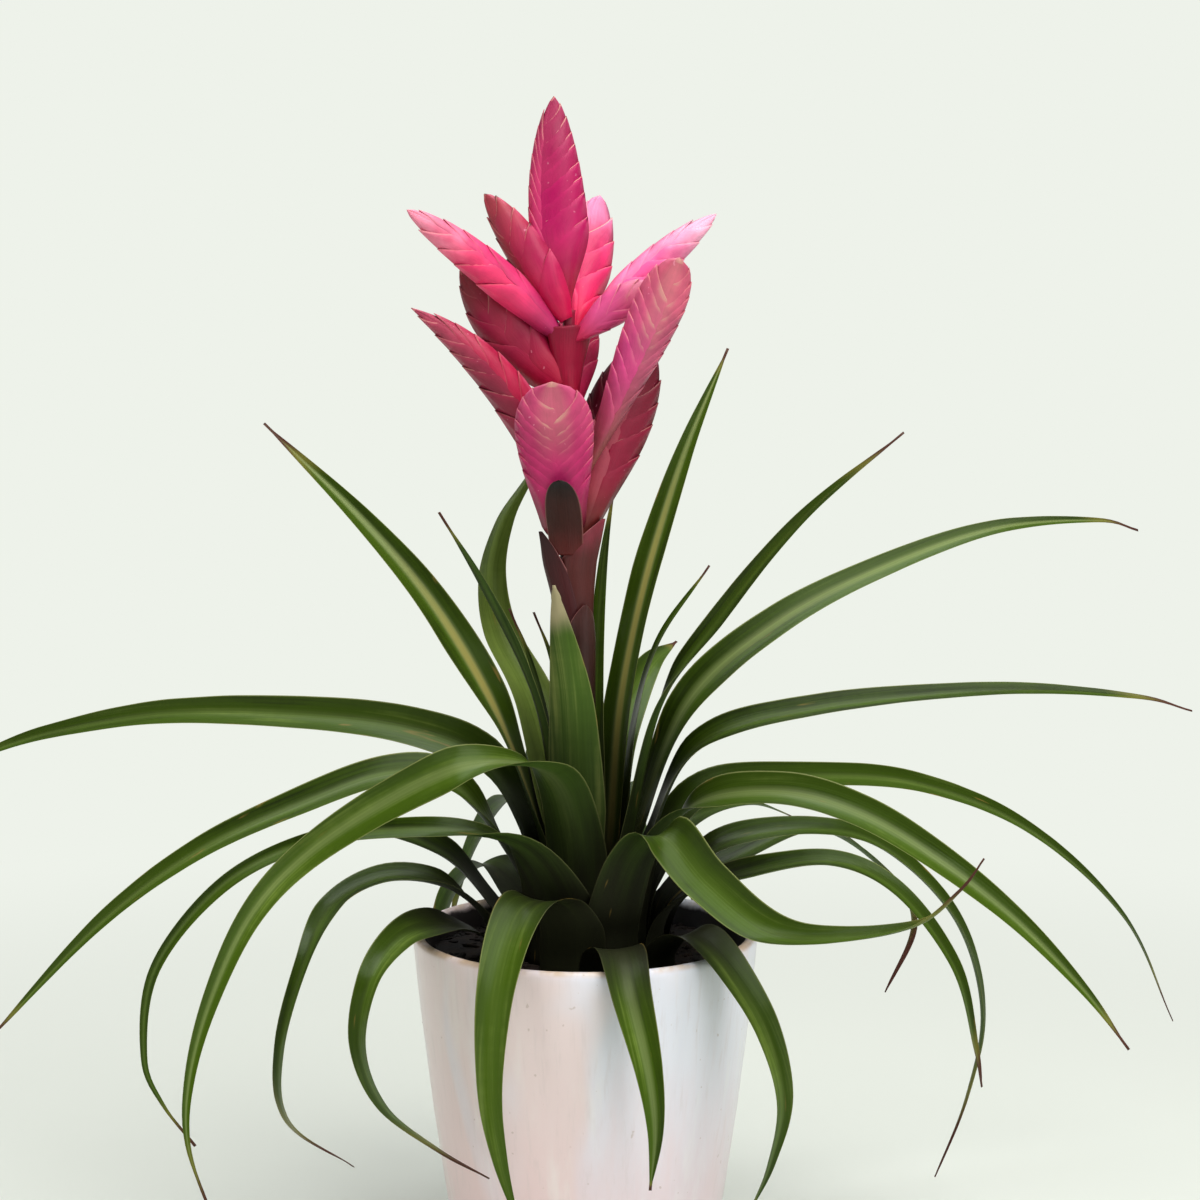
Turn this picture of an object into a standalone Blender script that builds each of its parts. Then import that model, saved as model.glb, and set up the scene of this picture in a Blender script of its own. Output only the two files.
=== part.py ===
"""Potted bromeliad: a tapering pot, its soil, a rosette of arching leaves and a flower head of flat spikes.

Metres, +Z up. The origin is the middle of the pot's flat underside. Headings are degrees about the pot's
axis: 0 is to the right, 90 to the back, 180 to the left and 270 to the front.
"""
from math import cos, degrees, exp, hypot, radians, sin

import bmesh
import bpy
from mathutils import Matrix, Quaternion, Vector

MM = 0.001
GAP = 0.3 * MM
CURVE_SAMPLES = 240

# Pot: outer radius at a few heights, wall and floor
POT_HEIGHT = 150 * MM
POT_PROFILE = [(0, 53), (32, 57.8), (76, 64.2), (119, 69.4), (144, 71.8)]  # height, outer radius in mm
POT_RIM_RADIUS = 72.0 * MM
POT_WALL = 5.0 * MM
POT_LIP = [(4.7, 2.6), (3.8, 0.6), (2.4, 0), (0.8, 0.5), (0, 2.2)]  # in from the rim, down from the top
POT_FLOOR = 9.0 * MM
TURNED_STEPS = 48
SOIL_TOP = 139 * MM

# Leaves
LEAF_THICKNESS = 0.7 * MM
LEAF_TIP = 1.2 * MM          # width of the blunt tip
LEAF_GUTTER = 0.18           # how far the edges rise, as a share of the width
LEAF_TAPER = (2.0, 0.9)      # the width falls as (1 - place ** first) ** second
LEAF_ROWS = 12
LEAF_COLUMNS = 4
SHEATH_LENGTH = 44 * MM      # how fast the broad base narrows to the blade
SHEATH_WRAP = radians(44)    # half the most that a base may wrap around the heart
SHEATH_RISE = (42 * MM, 0.85)  # a sheath stands this tall, less this share of its radius
SHEATH_FLARE = 0.8 * MM      # and opens by this much
FIRST_SHEATH = 7.0 * MM      # the innermost sheath's radius, and the step to each next one
SHEATH_STEP = 1.02 * MM
WRAPPED_UNTIL = 5 * MM       # out to this far from its sheath the blade wraps the heart,
FREE_FROM = 26 * MM          # beyond this it has its own gutter,
ROLLED_FROM = 42 * MM        # and beyond this its full roll

# Flower
BRACT_GRID = 6
SPIKE_FOOT = 0.15            # width of a spike's foot, as a share of its widest
BRACT_WRAP = radians(110)    # half the most that a bract may wrap around the stalk
SPIKE_SEAT = 0.6 * MM        # the foot stands this far off the stalk
STALK_RADIUS = 4.4 * MM
STALK_THINNING = (0.45, 250 * MM, 400 * MM)  # share of the radius lost between two heights
STALK_ROWS = 14
STALK_PATH = [(0, 0, 140), (0.5, 0, 190), (0, 0, 235), (-3, 0, 272), (-6.5, 0, 305), (-6.5, 0, 360),
              (-6.5, 0, 408)]

# heading, base width, blade width, roll, then (reach, height, swing) of the points that the leaf passes, in
# degrees and mm. Roll tips the blade about its own length and swing turns a point away from the heading.
# The leaves are listed from the heart outwards.
LEAVES = [
    (135, 18, 9, -20, [(8, 190), (11, 232), (20, 262), (31, 281)]),
    (74, 22, 11, 0, [(10, 190), (13, 240), (19, 275), (29, 305), (45, 333)]),
    (150, 18, 9, -40, [(12, 190), (19, 235), (27, 262), (37, 283)]),
    (208, 22, 10, 50, [(13, 190), (19, 235), (30, 266), (48, 300), (66, 328)]),
    (38, 28, 21, 35, [(14, 190), (18, 236), (25, 270), (37, 308), (54, 349), (77, 391)]),
    (128, 30, 27, 0, [(16, 190), (37, 240), (62, 268), (68, 294), (58, 318), (42, 335), (25, 350)]),
    (12, 24, 13, 30, [(17, 190), (21, 236), (31, 270), (53, 302)]),
    (256, 27, 27, 0, [(16, 190), (20, 225), (26, 255), (33, 289), (36, 299)]),
    (174, 32, 22, -55, [(19, 190), (37, 240), (62, 284), (92, 320), (134, 361)]),
    (346, 30, 17, 45, [(20, 190), (32, 245), (57, 283), (91, 325), (131, 360)]),
    (70, 28, 22, 0, [(22, 190), (42, 228), (80, 250), (120, 256)]),
    (18, 34, 19, 40, [(24, 192), (46, 244), (86, 276), (135, 298), (187, 313), (236, 315), (256, 310)]),
    (101, 28, 16, 0, [(24, 185), (45, 212), (85, 220), (130, 200), (165, 160)]),
    (260, 32, 21, -20, [(26, 193), (38, 218, -6), (55, 229, -15), (77, 229, -31), (101, 215, -43),
                        (129, 195, -49), (152, 174, -49), (171, 146, -47), (182, 118, -46), (185, 92, -45),
                        (176, 60, -44)]),
    (2, 30, 17, 30, [(28, 190), (48, 228), (97, 243), (172, 250), (230, 247), (254, 241)]),
    (158, 32, 21, -45, [(27, 192), (47, 219), (84, 230), (141, 232), (205, 228), (262, 216), (300, 203), (322, 193)]),
    (192, 30, 19, -35, [(32, 182), (56, 214), (82, 219), (118, 208), (160, 190), (200, 162), (246, 116)]),
    (80, 28, 15, 0, [(34, 178), (60, 196), (105, 188), (150, 150), (175, 105)]),
    (326, 32, 21, 35, [(33, 186), (52, 208, 7), (90, 216, 6), (125, 211, 5), (158, 196, 5), (188, 174, 7),
                       (214, 149, 8), (232, 128, 8)]),
    (28, 30, 15, 42, [(36, 182), (60, 204), (107, 205), (168, 196), (230, 169), (286, 122), (317, 68)]),
    (112, 28, 15, 0, [(36, 172), (62, 190), (105, 184), (150, 150), (178, 108)]),
    (248, 40, 9, -45, [(38, 176), (46, 192, -12), (60, 199, -28), (85, 200, -43), (120, 195, -49),
                       (155, 180, -48), (182, 150, -47), (187, 115, -47), (180, 95, -47), (167, 76, -47)]),
    (46, 26, 12, 10, [(38, 168), (65, 186), (105, 188), (140, 176)]),
    (6, 28, 14, 20, [(40, 170), (62, 186), (98, 190), (128, 181), (158, 150), (170, 110), (164, 72),
                     (151, 37)]),
    (290, 32, 22, 30, [(37, 166), (43, 189, 8), (56, 199, 15), (78, 183, 19), (106, 169, 22),
                       (135, 170, 24), (168, 179, 28), (184, 194, 30), (190, 206, 32)]),
    (344, 28, 13, 20, [(42, 166), (70, 178), (105, 185), (132, 174), (155, 145), (164, 112), (167, 96)]),
    (92, 26, 14, 0, [(42, 162), (68, 172), (105, 160), (140, 118), (158, 75)]),
    (178, 28, 15, -20, [(42, 164), (60, 182), (85, 191), (112, 186), (138, 165)]),
    (26, 26, 12, 10, [(44, 162), (72, 173), (112, 182), (147, 160), (162, 135), (148, 105)]),
    (66, 26, 13, 0, [(46, 158), (74, 166), (112, 150), (140, 108)]),
    (262, 28, 18, 0, [(43, 162), (50, 173, -8), (66, 170, -15), (87, 146, -15), (101, 112, -13),
                      (105, 85, -10), (102, 55, -6)]),
    (202, 26, 12, -15, [(47, 162), (62, 173, -6), (84, 176, -9), (108, 170, -1), (132, 158, 13),
                        (150, 126, 17), (144, 95, 15), (106, 64, 6)]),
    (126, 26, 13, 0, [(47, 158), (74, 164), (104, 146), (122, 108), (128, 80)]),
    (204, 24, 13, -25, [(50, 154), (70, 159, 4), (92, 158, 12), (114, 148, 19), (121, 124, 20),
                        (108, 97, 19), (86, 76, 23), (72, 63, 34)]),
    (315, 26, 17, 0, [(52, 155), (63, 157), (80, 147), (97, 125, 2), (105, 98, 3), (102, 72, 1),
                      (96, 52, -2)]),
    (281, 22, 16, 0, [(51, 153), (63, 155, 2), (79, 143, 2), (90, 115, 5), (94, 92, 6), (93, 68, 5)]),
]

# name: height on the stalk, heading it leaves by, tip point, width and thickness in mm, heading of the flat
# face, where along it the spike is widest, and how pointed it is
SPIKES = [
    ("spike_top", 0, 0, (-12.5, 3, 494), 23, 8, 270, 0.37, 0.76),
    ("spike_back_right", 396, 60, (6, 28, 455), 21, 7, 285, 0.5, 0.65),
    ("spike_upper_left", 396, 150, (-41, 8, 455), 18, 7, 238, 0.38, 0.7),
    ("spike_left", 388, 196, (-71, -17, 448), 15, 7, 280, 0.45, 0.75),
    ("spike_left_lower", 372, 185, (-53, 1, 424), 19, 7, 262, 0.55, 0.6),
    ("spike_right", 390, 20, (54, 16, 447), 15, 7, 250, 0.42, 0.85),
    ("spike_right_short", 376, 335, (29, -3, 421), 15, 7, 285, 0.5, 0.65),
    ("spike_right_long", 334, 330, (38, -24, 429), 19.5, 8, 282, 0.78, 0.5),
    ("spike_far_left", 350, 196, (-70, -12, 409), 17, 8, 255, 0.4, 0.85),
    ("spike_back", 362, 110, (-2, 34, 412), 19, 7, 80, 0.55, 0.65),
    ("spike_low_back", 338, 50, (20, 22, 391), 20, 7, 60, 0.55, 0.65),
    ("spike_front", 313, 256, (-13, -30, 380), 32, 8, 270, 0.66, 0.5),
    ("spike_low_right", 313, 345, (30, 4, 390), 25, 8, 290, 0.6, 0.65),
]

# heading, height of the foot, distance from the stalk at the foot, lean at the tip, height of the tip,
# width, width of the foot as a share of it, and how square the tip is, in degrees and mm
BRACTS = [
    (212, 268, 0.6, 7.0, 315, 24, 0.6, 2),
    (350, 276, 1.7, 8.5, 322, 20, 0.6, 2),
    (300, 244, 0.3, 5.0, 286, 22, 0.6, 2),
    (266, 372, 0.8, 5.5, 399, 17, 0.35, 6),
    (264, 302, 2.6, 13.5, 340, 14, 0.5, 6),
]

# Materials: colour, roughness, metallic
LEAF_GREEN = ("leaf", (0.045, 0.13, 0.022, 1), 0.42, 0.0)
SPIKE_PINK = ("spike", (0.72, 0.045, 0.17, 1), 0.5, 0.0)
STALK_MAROON = ("stalk", (0.13, 0.03, 0.03, 1), 0.55, 0.0)
POT_GLAZE = ("pot_glaze", (0.80, 0.74, 0.72, 1), 0.3, 0.0)
SOIL_BLACK = ("soil", (0.018, 0.013, 0.01, 1), 0.95, 0.0)


def clear_scene():
    for existing in list(bpy.data.objects):
        bpy.data.objects.remove(existing, do_unlink=True)


def material(spec):
    name, colour, roughness, metallic = spec
    found = bpy.data.materials.get(name)
    if found:
        return found
    made = bpy.data.materials.new(name)
    made.use_nodes = True
    shader = made.node_tree.nodes["Principled BSDF"]
    shader.inputs["Base Color"].default_value = colour
    shader.inputs["Roughness"].default_value = roughness
    shader.inputs["Metallic"].default_value = metallic
    made.diffuse_color = colour
    return made


def add_object(name, data, spec):
    made = bpy.data.objects.new(name, data)
    made.data.materials.append(material(spec))
    plant.objects.link(made)
    return made


def add_mesh(name, mesh_edit, spec):
    bmesh.ops.recalc_face_normals(mesh_edit, faces=mesh_edit.faces)
    mesh = bpy.data.meshes.new(name)
    mesh_edit.to_mesh(mesh)
    mesh_edit.free()
    mesh.shade_smooth()
    return add_object(name, mesh, spec)


def thicken(sheet):
    solidify = sheet.modifiers.new("thickness", "SOLIDIFY")
    solidify.thickness = LEAF_THICKNESS
    solidify.offset = 0


def on_heading(heading, reach, height):
    """The point at a heading in degrees and a distance from the axis."""
    angle = radians(heading)
    return Vector((reach * cos(angle), reach * sin(angle), height))


def smooth_curve(points, place):
    """A point and its direction on a Catmull-Rom curve, with place running from 0 to 1."""
    spans = len(points) - 1
    position = min(max(place, 0.0), 1.0) * spans
    index = min(int(position), spans - 1)
    u = position - index
    p1, p2 = points[index], points[index + 1]
    p0 = points[index - 1] if index > 0 else p1 * 2 - p2
    p3 = points[index + 2] if index + 2 <= spans else p2 * 2 - p1
    a = 2 * p1
    b = p2 - p0
    c = 2 * p0 - 5 * p1 + 4 * p2 - p3
    d = 3 * p1 - p0 - 3 * p2 + p3
    point = (a + b * u + c * u * u + d * u * u * u) / 2
    direction = (b + 2 * c * u + 3 * d * u * u) / 2
    return point, direction.normalized()


def even_stations(points, count):
    """Stations evenly spaced by length along the smooth curve: (point, direction, length so far)."""
    samples = [smooth_curve(points, i / CURVE_SAMPLES) for i in range(CURVE_SAMPLES + 1)]
    lengths = [0.0]
    for before, after in zip(samples, samples[1:]):
        lengths.append(lengths[-1] + (after[0] - before[0]).length)
    stations = []
    index = 0
    for step in range(count + 1):
        wanted = lengths[-1] * step / count
        while index < CURVE_SAMPLES - 1 and lengths[index + 1] < wanted:
            index += 1
        span = lengths[index + 1] - lengths[index]
        share = (wanted - lengths[index]) / span if span else 0.0
        point = samples[index][0].lerp(samples[index + 1][0], share)
        direction = samples[index][1].lerp(samples[index + 1][1], share).normalized()
        stations.append((point, direction, wanted))
    return stations


def leaf_points(heading, sheath, way):
    """The leaf's centre line: it stands on the soil at its sheath, rises, then passes its own points."""
    rise = SHEATH_RISE[0] - SHEATH_RISE[1] * sheath
    points = [on_heading(heading, sheath, SOIL_TOP + GAP),
              on_heading(heading, sheath + SHEATH_FLARE, SOIL_TOP + rise)]
    for reach, height, *swing in way:
        points.append(on_heading(heading + (swing[0] if swing else 0), reach * MM, height * MM))
    return points


def blend(low, high, value):
    share = min(max((value - low) / (high - low), 0.0), 1.0)
    return share * share * (3 - 2 * share)


def blade(name, heading, sheath_radius, base_width, blade_width, roll, points):
    """A strap leaf: it wraps the heart at its base and opens into a shallow gutter further out."""
    stations = even_stations(points, LEAF_ROWS)
    total = stations[-1][2]
    side = on_heading(heading + 90, 1, 0)
    mesh_edit = bmesh.new()
    bmesh.ops.create_grid(mesh_edit, x_segments=LEAF_ROWS, y_segments=LEAF_COLUMNS, size=1)
    for vertex in mesh_edit.verts:
        row = round((vertex.co.x + 1) / 2 * LEAF_ROWS)
        across = vertex.co.y
        centre, direction, length = stations[row]
        place = length / total
        taper = max(1 - place ** LEAF_TAPER[0], 0.0) ** LEAF_TAPER[1]
        sheath = exp(-(length / SHEATH_LENGTH) ** 2)
        width = max(blade_width * MM * taper + (base_width - blade_width) * MM * sheath, LEAF_TIP)
        reach = hypot(centre.x, centre.y)
        turn = min(width / 2 / reach, SHEATH_WRAP)
        wrapped = Matrix.Rotation(across * turn, 3, "Z") @ centre
        flat_side = (side - direction * side.dot(direction)).normalized()
        away = reach - sheath_radius
        flat_side.rotate(Quaternion(direction, radians(roll) * blend(WRAPPED_UNTIL, ROLLED_FROM, away)))
        upward = direction.cross(flat_side)
        free = centre + flat_side * (across * width / 2) + upward * (LEAF_GUTTER * width * across * across)
        vertex.co = wrapped.lerp(free, blend(WRAPPED_UNTIL, FREE_FROM, away))
    thicken(add_mesh(name, mesh_edit, LEAF_GREEN))


def turned(name, profile, spec):
    """A turned solid from (radius, height) points that run down its outer side."""
    mesh = bpy.data.meshes.new(name)
    mesh.from_pydata([(radius, 0, height) for radius, height in profile],
                     [(i, i + 1) for i in range(len(profile) - 1)], [])
    made = add_object(name, mesh, spec)
    screw = made.modifiers.new("turn", "SCREW")
    screw.steps = screw.render_steps = TURNED_STEPS
    screw.use_merge_vertices = True
    screw.merge_threshold = 0.00001
    return made


def inner_radius(height):
    """The pot's inner radius at a height, from its outer profile and wall."""
    stations = [(h * MM, r * MM) for h, r in POT_PROFILE] + [(POT_HEIGHT, POT_RIM_RADIUS)]
    for (low, low_radius), (high, high_radius) in zip(stations, stations[1:]):
        if height <= high:
            share = (height - low) / (high - low)
            return low_radius + (high_radius - low_radius) * share - POT_WALL
    return POT_RIM_RADIUS - POT_WALL


def make_pot():
    outer = [(r * MM, h * MM) for h, r in POT_PROFILE]
    inner = [(inner_radius(h * MM), h * MM) for h, _ in POT_PROFILE[1:-1]]
    lip = [(POT_RIM_RADIUS - inset * MM, POT_HEIGHT - drop * MM) for inset, drop in POT_LIP]
    profile = [(0, POT_FLOOR), (inner_radius(POT_FLOOR), POT_FLOOR)] + inner + lip
    turned("pot", profile + outer[::-1] + [(0, 0)], POT_GLAZE)


def make_soil():
    outer = [(inner_radius(h * MM) - GAP, h * MM) for h, _ in POT_PROFILE[1:-1]]
    floor = POT_FLOOR + GAP
    top = (inner_radius(SOIL_TOP) - GAP, SOIL_TOP)
    foot = (inner_radius(floor) - GAP, floor)
    turned("soil", [(0, SOIL_TOP), top] + outer[::-1] + [foot, (0, floor)], SOIL_BLACK)


def stalk_share(height):
    """The stalk's radius at a height, as a share of its radius at the soil."""
    lost, low, high = STALK_THINNING
    return 1 - lost * blend(low, high, height)


def make_stalk():
    curve = bpy.data.curves.new("flower_stalk", "CURVE")
    curve.dimensions = "3D"
    curve.bevel_depth = STALK_RADIUS
    curve.bevel_resolution = 2
    curve.use_fill_caps = True
    line = curve.splines.new("POLY")
    points = [Vector(point) * MM for point in STALK_PATH]
    points[0].z = SOIL_TOP + GAP
    stations = even_stations(points, STALK_ROWS)
    line.points.add(len(stations) - 1)
    for station, target in zip(stations, line.points):
        target.co = (*station[0], 1)
        target.radius = stalk_share(station[0].z)
    add_object("flower_stalk", curve, STALK_MAROON)


def stalk_at(height):
    """The middle of the flower stalk at a height, and its radius there."""
    points = [Vector(point) * MM for point in STALK_PATH]
    for low, high in zip(points, points[1:]):
        if height <= high.z:
            break
    share = (height - low.z) / (high.z - low.z)
    return low.lerp(high, share), STALK_RADIUS * stalk_share(height)


def outline(place, widest, pointed):
    """The half width of a spike, as a share of its most, at a place from its foot to its tip."""
    if place <= 0 or place >= 1:
        return 0.0
    if place < widest:
        return SPIKE_FOOT + (1 - SPIKE_FOOT) * blend(0, widest, place)
    return (1 - ((place - widest) / (1 - widest)) ** 2) ** pointed


def make_spike(name, height, heading, tip, width, thickness, face, widest, pointed):
    """A flat flower spike, from its narrow foot beside the stalk to its tip."""
    if height:
        middle, radius = stalk_at(height * MM)
        foot = middle + on_heading(heading, radius + SPIKE_SEAT, 0)
    else:
        foot = Vector(STALK_PATH[-1]) * MM + Vector((0, 0, GAP))
    end = Vector(tip) * MM
    along = (end - foot).normalized()
    outward = on_heading(face, 1, 0)
    outward = (outward - along * outward.dot(along)).normalized()
    across = outward.cross(along)
    length = (end - foot).length
    mesh_edit = bmesh.new()
    bmesh.ops.create_uvsphere(mesh_edit, u_segments=10, v_segments=9, radius=1)
    for vertex in mesh_edit.verts:
        place = (vertex.co.z + 1) / 2
        ring = hypot(vertex.co.x, vertex.co.y)
        spread = outline(place, widest, pointed) / ring if ring > 0.001 else 0.0
        vertex.co = (foot + along * (place * length) + across * (vertex.co.x * spread * width * MM / 2)
                     + outward * (vertex.co.y * spread * thickness * MM / 2))
    add_mesh(name, mesh_edit, SPIKE_PINK)


def make_bract(name, heading, foot_height, seat, lean, tip_height, width, foot_share, square):
    """A pointed bract that wraps part of the stalk and leans off it at its tip."""
    mesh_edit = bmesh.new()
    bmesh.ops.create_grid(mesh_edit, x_segments=BRACT_GRID, y_segments=BRACT_GRID, size=1)
    for vertex in mesh_edit.verts:
        place = (vertex.co.x + 1) / 2
        height = (foot_height + (tip_height - foot_height) * place) * MM
        middle, radius = stalk_at(height)
        reach = radius + LEAF_THICKNESS / 2 + (seat + lean * place ** 1.5) * MM
        spread = (foot_share + (1 - foot_share) * place) * (1 - place ** square) ** 0.8
        half = max(width * MM / 2 * spread, LEAF_TIP / 2)
        turn = min(half / reach, BRACT_WRAP)
        vertex.co = middle + on_heading(heading + degrees(vertex.co.y * turn), reach, 0)
    thicken(add_mesh(name, mesh_edit, STALK_MAROON))


clear_scene()
plant = bpy.data.collections.new("potted_bromeliad")
bpy.context.scene.collection.children.link(plant)

make_pot()
make_soil()
make_stalk()
for number, (heading, base_width, blade_width, roll, way) in enumerate(LEAVES):
    radius = FIRST_SHEATH + number * SHEATH_STEP
    points = leaf_points(heading, radius, way)
    blade(f"leaf_{number + 1:02d}", heading, radius, base_width, blade_width, roll, points)
for spike in SPIKES:
    make_spike(*spike)
for number, bract in enumerate(BRACTS):
    make_bract(f"bract_{number + 1}", *bract)
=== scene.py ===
from math import cos, radians, sin

import bpy
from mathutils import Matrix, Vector


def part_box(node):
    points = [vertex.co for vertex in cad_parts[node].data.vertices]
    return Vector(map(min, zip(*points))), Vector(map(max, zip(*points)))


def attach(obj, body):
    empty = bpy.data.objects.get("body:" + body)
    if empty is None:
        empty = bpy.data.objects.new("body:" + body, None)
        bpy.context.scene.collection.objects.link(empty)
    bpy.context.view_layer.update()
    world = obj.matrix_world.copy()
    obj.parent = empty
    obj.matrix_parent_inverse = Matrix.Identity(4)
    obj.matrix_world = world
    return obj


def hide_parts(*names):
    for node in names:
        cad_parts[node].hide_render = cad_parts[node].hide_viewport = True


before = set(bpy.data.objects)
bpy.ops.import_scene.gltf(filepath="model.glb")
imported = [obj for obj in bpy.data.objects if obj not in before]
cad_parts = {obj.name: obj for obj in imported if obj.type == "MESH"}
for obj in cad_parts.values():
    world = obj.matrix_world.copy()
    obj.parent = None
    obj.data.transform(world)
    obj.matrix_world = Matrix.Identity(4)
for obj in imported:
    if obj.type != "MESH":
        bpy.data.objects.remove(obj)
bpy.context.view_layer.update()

mm = 0.001
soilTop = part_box("soil")[1].z
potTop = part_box("pot")[1].z


class Wire:
    # a node's output that takes part in expressions
    def __init__(self, board, socket):
        self.board, self.socket = board, socket

    def __add__(self, other):
        return self.board.maths("ADD", self, other)

    def __radd__(self, other):
        return self.board.maths("ADD", other, self)

    def __sub__(self, other):
        return self.board.maths("SUBTRACT", self, other)

    def __rsub__(self, other):
        return self.board.maths("SUBTRACT", other, self)

    def __mul__(self, other):
        return self.board.maths("MULTIPLY", self, other)

    def __rmul__(self, other):
        return self.board.maths("MULTIPLY", other, self)

    def __truediv__(self, other):
        return self.board.maths("DIVIDE", self, other)

    def __rtruediv__(self, other):
        return self.board.maths("DIVIDE", other, self)

    def __pow__(self, other):
        return self.board.maths("POWER", self, other)


class Board:
    # a node tree and the few ways this script adds to it
    def __init__(self, tree):
        self.tree = tree
        self.entry = tree.nodes.new("NodeGroupInput") if tree.type == "GEOMETRY" else None

    def node(self, kind, settings=None, sockets=None, out=0):
        made = self.tree.nodes.new(kind)
        for name, value in (settings or {}).items():
            setattr(made, name, value)
        for key, value in (sockets or {}).items():
            if isinstance(value, Wire):
                self.tree.links.new(value.socket, made.inputs[key])
            else:
                made.inputs[key].default_value = value
        return Wire(self, made.outputs[out]) if len(made.outputs) else made

    def maths(self, operation, *values):
        vectors = [isinstance(value, (tuple, Vector))
                   or isinstance(value, Wire) and value.socket.type in ("VECTOR", "RGBA") for value in values]
        if not any(vectors):
            return self.node("ShaderNodeMath", {"operation": operation}, dict(enumerate(values)))
        if operation == "MULTIPLY" and not all(vectors):
            vector, scale = values if vectors[0] else values[::-1]
            return self.node("ShaderNodeVectorMath", {"operation": "SCALE"}, {0: vector, "Scale": scale})
        out = "Value" if operation in ("DOT_PRODUCT", "LENGTH") else "Vector"
        return self.node("ShaderNodeVectorMath", {"operation": operation}, dict(enumerate(values)), out)

    def least(self, first, second):
        return self.maths("MINIMUM", first, second)

    def most(self, first, second):
        return self.maths("MAXIMUM", first, second)

    def size(self, value):
        return self.maths("ABSOLUTE", value)

    def unit(self, vector):
        return self.maths("NORMALIZE", vector)

    def ease(self, value, low, high, start=0.0, end=1.0):
        # goes smoothly from start to end as the value goes from low to high
        return self.node("ShaderNodeMapRange", {"interpolation_type": "SMOOTHSTEP"},
                         {"Value": value, "From Min": low, "From Max": high, "To Min": start, "To Max": end})

    def reach(self, first, *others):
        # the length of a vector with these parts
        total = first * first
        for side in others:
            total = total + side * side
        return self.maths("SQRT", total)

    def square(self, vector, along):
        # the direction nearest to the vector that stands square on another
        return self.unit(vector - along * self.maths("DOT_PRODUCT", vector, along))

    def onHeading(self, angle):
        return self.vector(self.maths("COSINE", angle), self.maths("SINE", angle), 0.0)

    def vector(self, x, y, z):
        return self.node("ShaderNodeCombineXYZ", None, {"X": x, "Y": y, "Z": z})

    def position(self):
        if self.tree.type == "GEOMETRY":
            return self.node("GeometryNodeInputPosition")
        return self.node("ShaderNodeTexCoord", None, None, "Object")

    def attribute(self, name):
        return self.node("ShaderNodeAttribute", {"attribute_name": name}, None, "Vector")

    def stored(self, name):
        return self.parts(self.attribute(name))

    def parts(self, vector):
        split = self.node("ShaderNodeSeparateXYZ", None, {0: vector})
        return [Wire(self, socket) for socket in split.socket.node.outputs]

    def mixVector(self, share, first, second):
        return self.node("ShaderNodeMix", {"data_type": "VECTOR"}, {0: share, 4: first, 5: second}, 1)

    def mixColour(self, share, first, second):
        colours = [value if isinstance(value, Wire) else (*value, 1) for value in (first, second)]
        return self.node("ShaderNodeMix", {"data_type": "RGBA"}, {0: share, 6: colours[0], 7: colours[1]}, 2)

    def paint(self, colour, share, code):
        # a share of another colour laid over this one
        return self.mixColour(share, colour, tint(code))

    def shade(self, colour, share, factor):
        # a share of the same colour made darker or lighter, laid over it
        return self.mixColour(share, colour, colour * factor)

    def bump(self, strength, distance, height):
        return self.node("ShaderNodeBump", None,
                         {"Strength": strength, "Distance": distance, "Height": height}, "Normal")

    def noise(self, vector, scale, detail, roughness=0.5, distortion=0.0):
        return self.node("ShaderNodeTexNoise", None,
                         {"Vector": vector, "Scale": scale, "Detail": detail, "Roughness": roughness,
                          "Distortion": distortion}, "Fac" if self.tree.type == "SHADER" else 0)

    def take(self, name, kind="Float"):
        self.tree.interface.new_socket(name, in_out="INPUT", socket_type="NodeSocket" + kind)
        return Wire(self, self.entry.outputs[name])

    def takes(self, *names):
        return [self.take(name) for name in names]

    def start(self):
        # the line that comes in, as a curve, and a closed tube of radius 1 and length 1 to move into shape
        curve = self.node("GeometryNodeMeshToCurve", None, {"Mesh": self.take("Line", "Geometry")})
        around, rows = self.take("Around", "Int"), self.take("Rows", "Int")
        tube = self.node("GeometryNodeMeshCylinder", {"fill_type": "NGON"},
                         {"Vertices": around, "Side Segments": rows, "Radius": 1.0, "Depth": 1.0})
        return curve, tube

    def follow(self, curve, place):
        # the point at a share of the curve's length
        return self.node("GeometryNodeSampleCurve", {"mode": "FACTOR"}, {"Curves": curve, "Factor": place},
                         "Position")

    def onward(self, point):
        # the way the curve runs at a point that follow gave
        return self.unit(Wire(self, point.socket.node.outputs["Tangent"]))

    def move(self, geometry, surface):
        return self.node("GeometryNodeSetPosition", None, {"Geometry": geometry, "Position": surface})

    def turn(self, vector, axis, angle):
        return self.node("ShaderNodeVectorRotate", {"rotation_type": "AXIS_ANGLE"},
                         {"Vector": vector, "Axis": axis, "Angle": angle})

    def store(self, geometry, name, value):
        return self.node("GeometryNodeStoreNamedAttribute", {"data_type": "FLOAT_VECTOR", "domain": "POINT"},
                         {"Geometry": geometry, "Name": name, "Value": value})

    def finish(self, geometry, material):
        shown = self.node("GeometryNodeSetShadeSmooth", None, {"Geometry": geometry})
        shown = self.node("GeometryNodeRealizeInstances", None, {"Geometry": shown})
        shown = self.node("GeometryNodeSetMaterial", None, {"Geometry": shown, "Material": material})
        self.tree.interface.new_socket("Geometry", in_out="OUTPUT", socket_type="NodeSocketGeometry")
        self.node("NodeGroupOutput", None, {"Geometry": shown})


def tint(code):
    # a colour written as six hexadecimal digits, as the linear values that shaders take
    shares = [int(code[at:at + 2], 16) / 255 for at in (0, 2, 4)]
    return tuple(share / 12.92 if share <= 0.04045 else ((share + 0.055) / 1.055) ** 2.4 for share in shares)


def newTree(name):
    tree = bpy.data.node_groups.new(name, "GeometryNodeTree")
    return tree, Board(tree)


def addObject(name, data):
    made = bpy.data.objects.new(name, data)
    bpy.context.scene.collection.objects.link(made)
    return made


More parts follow.
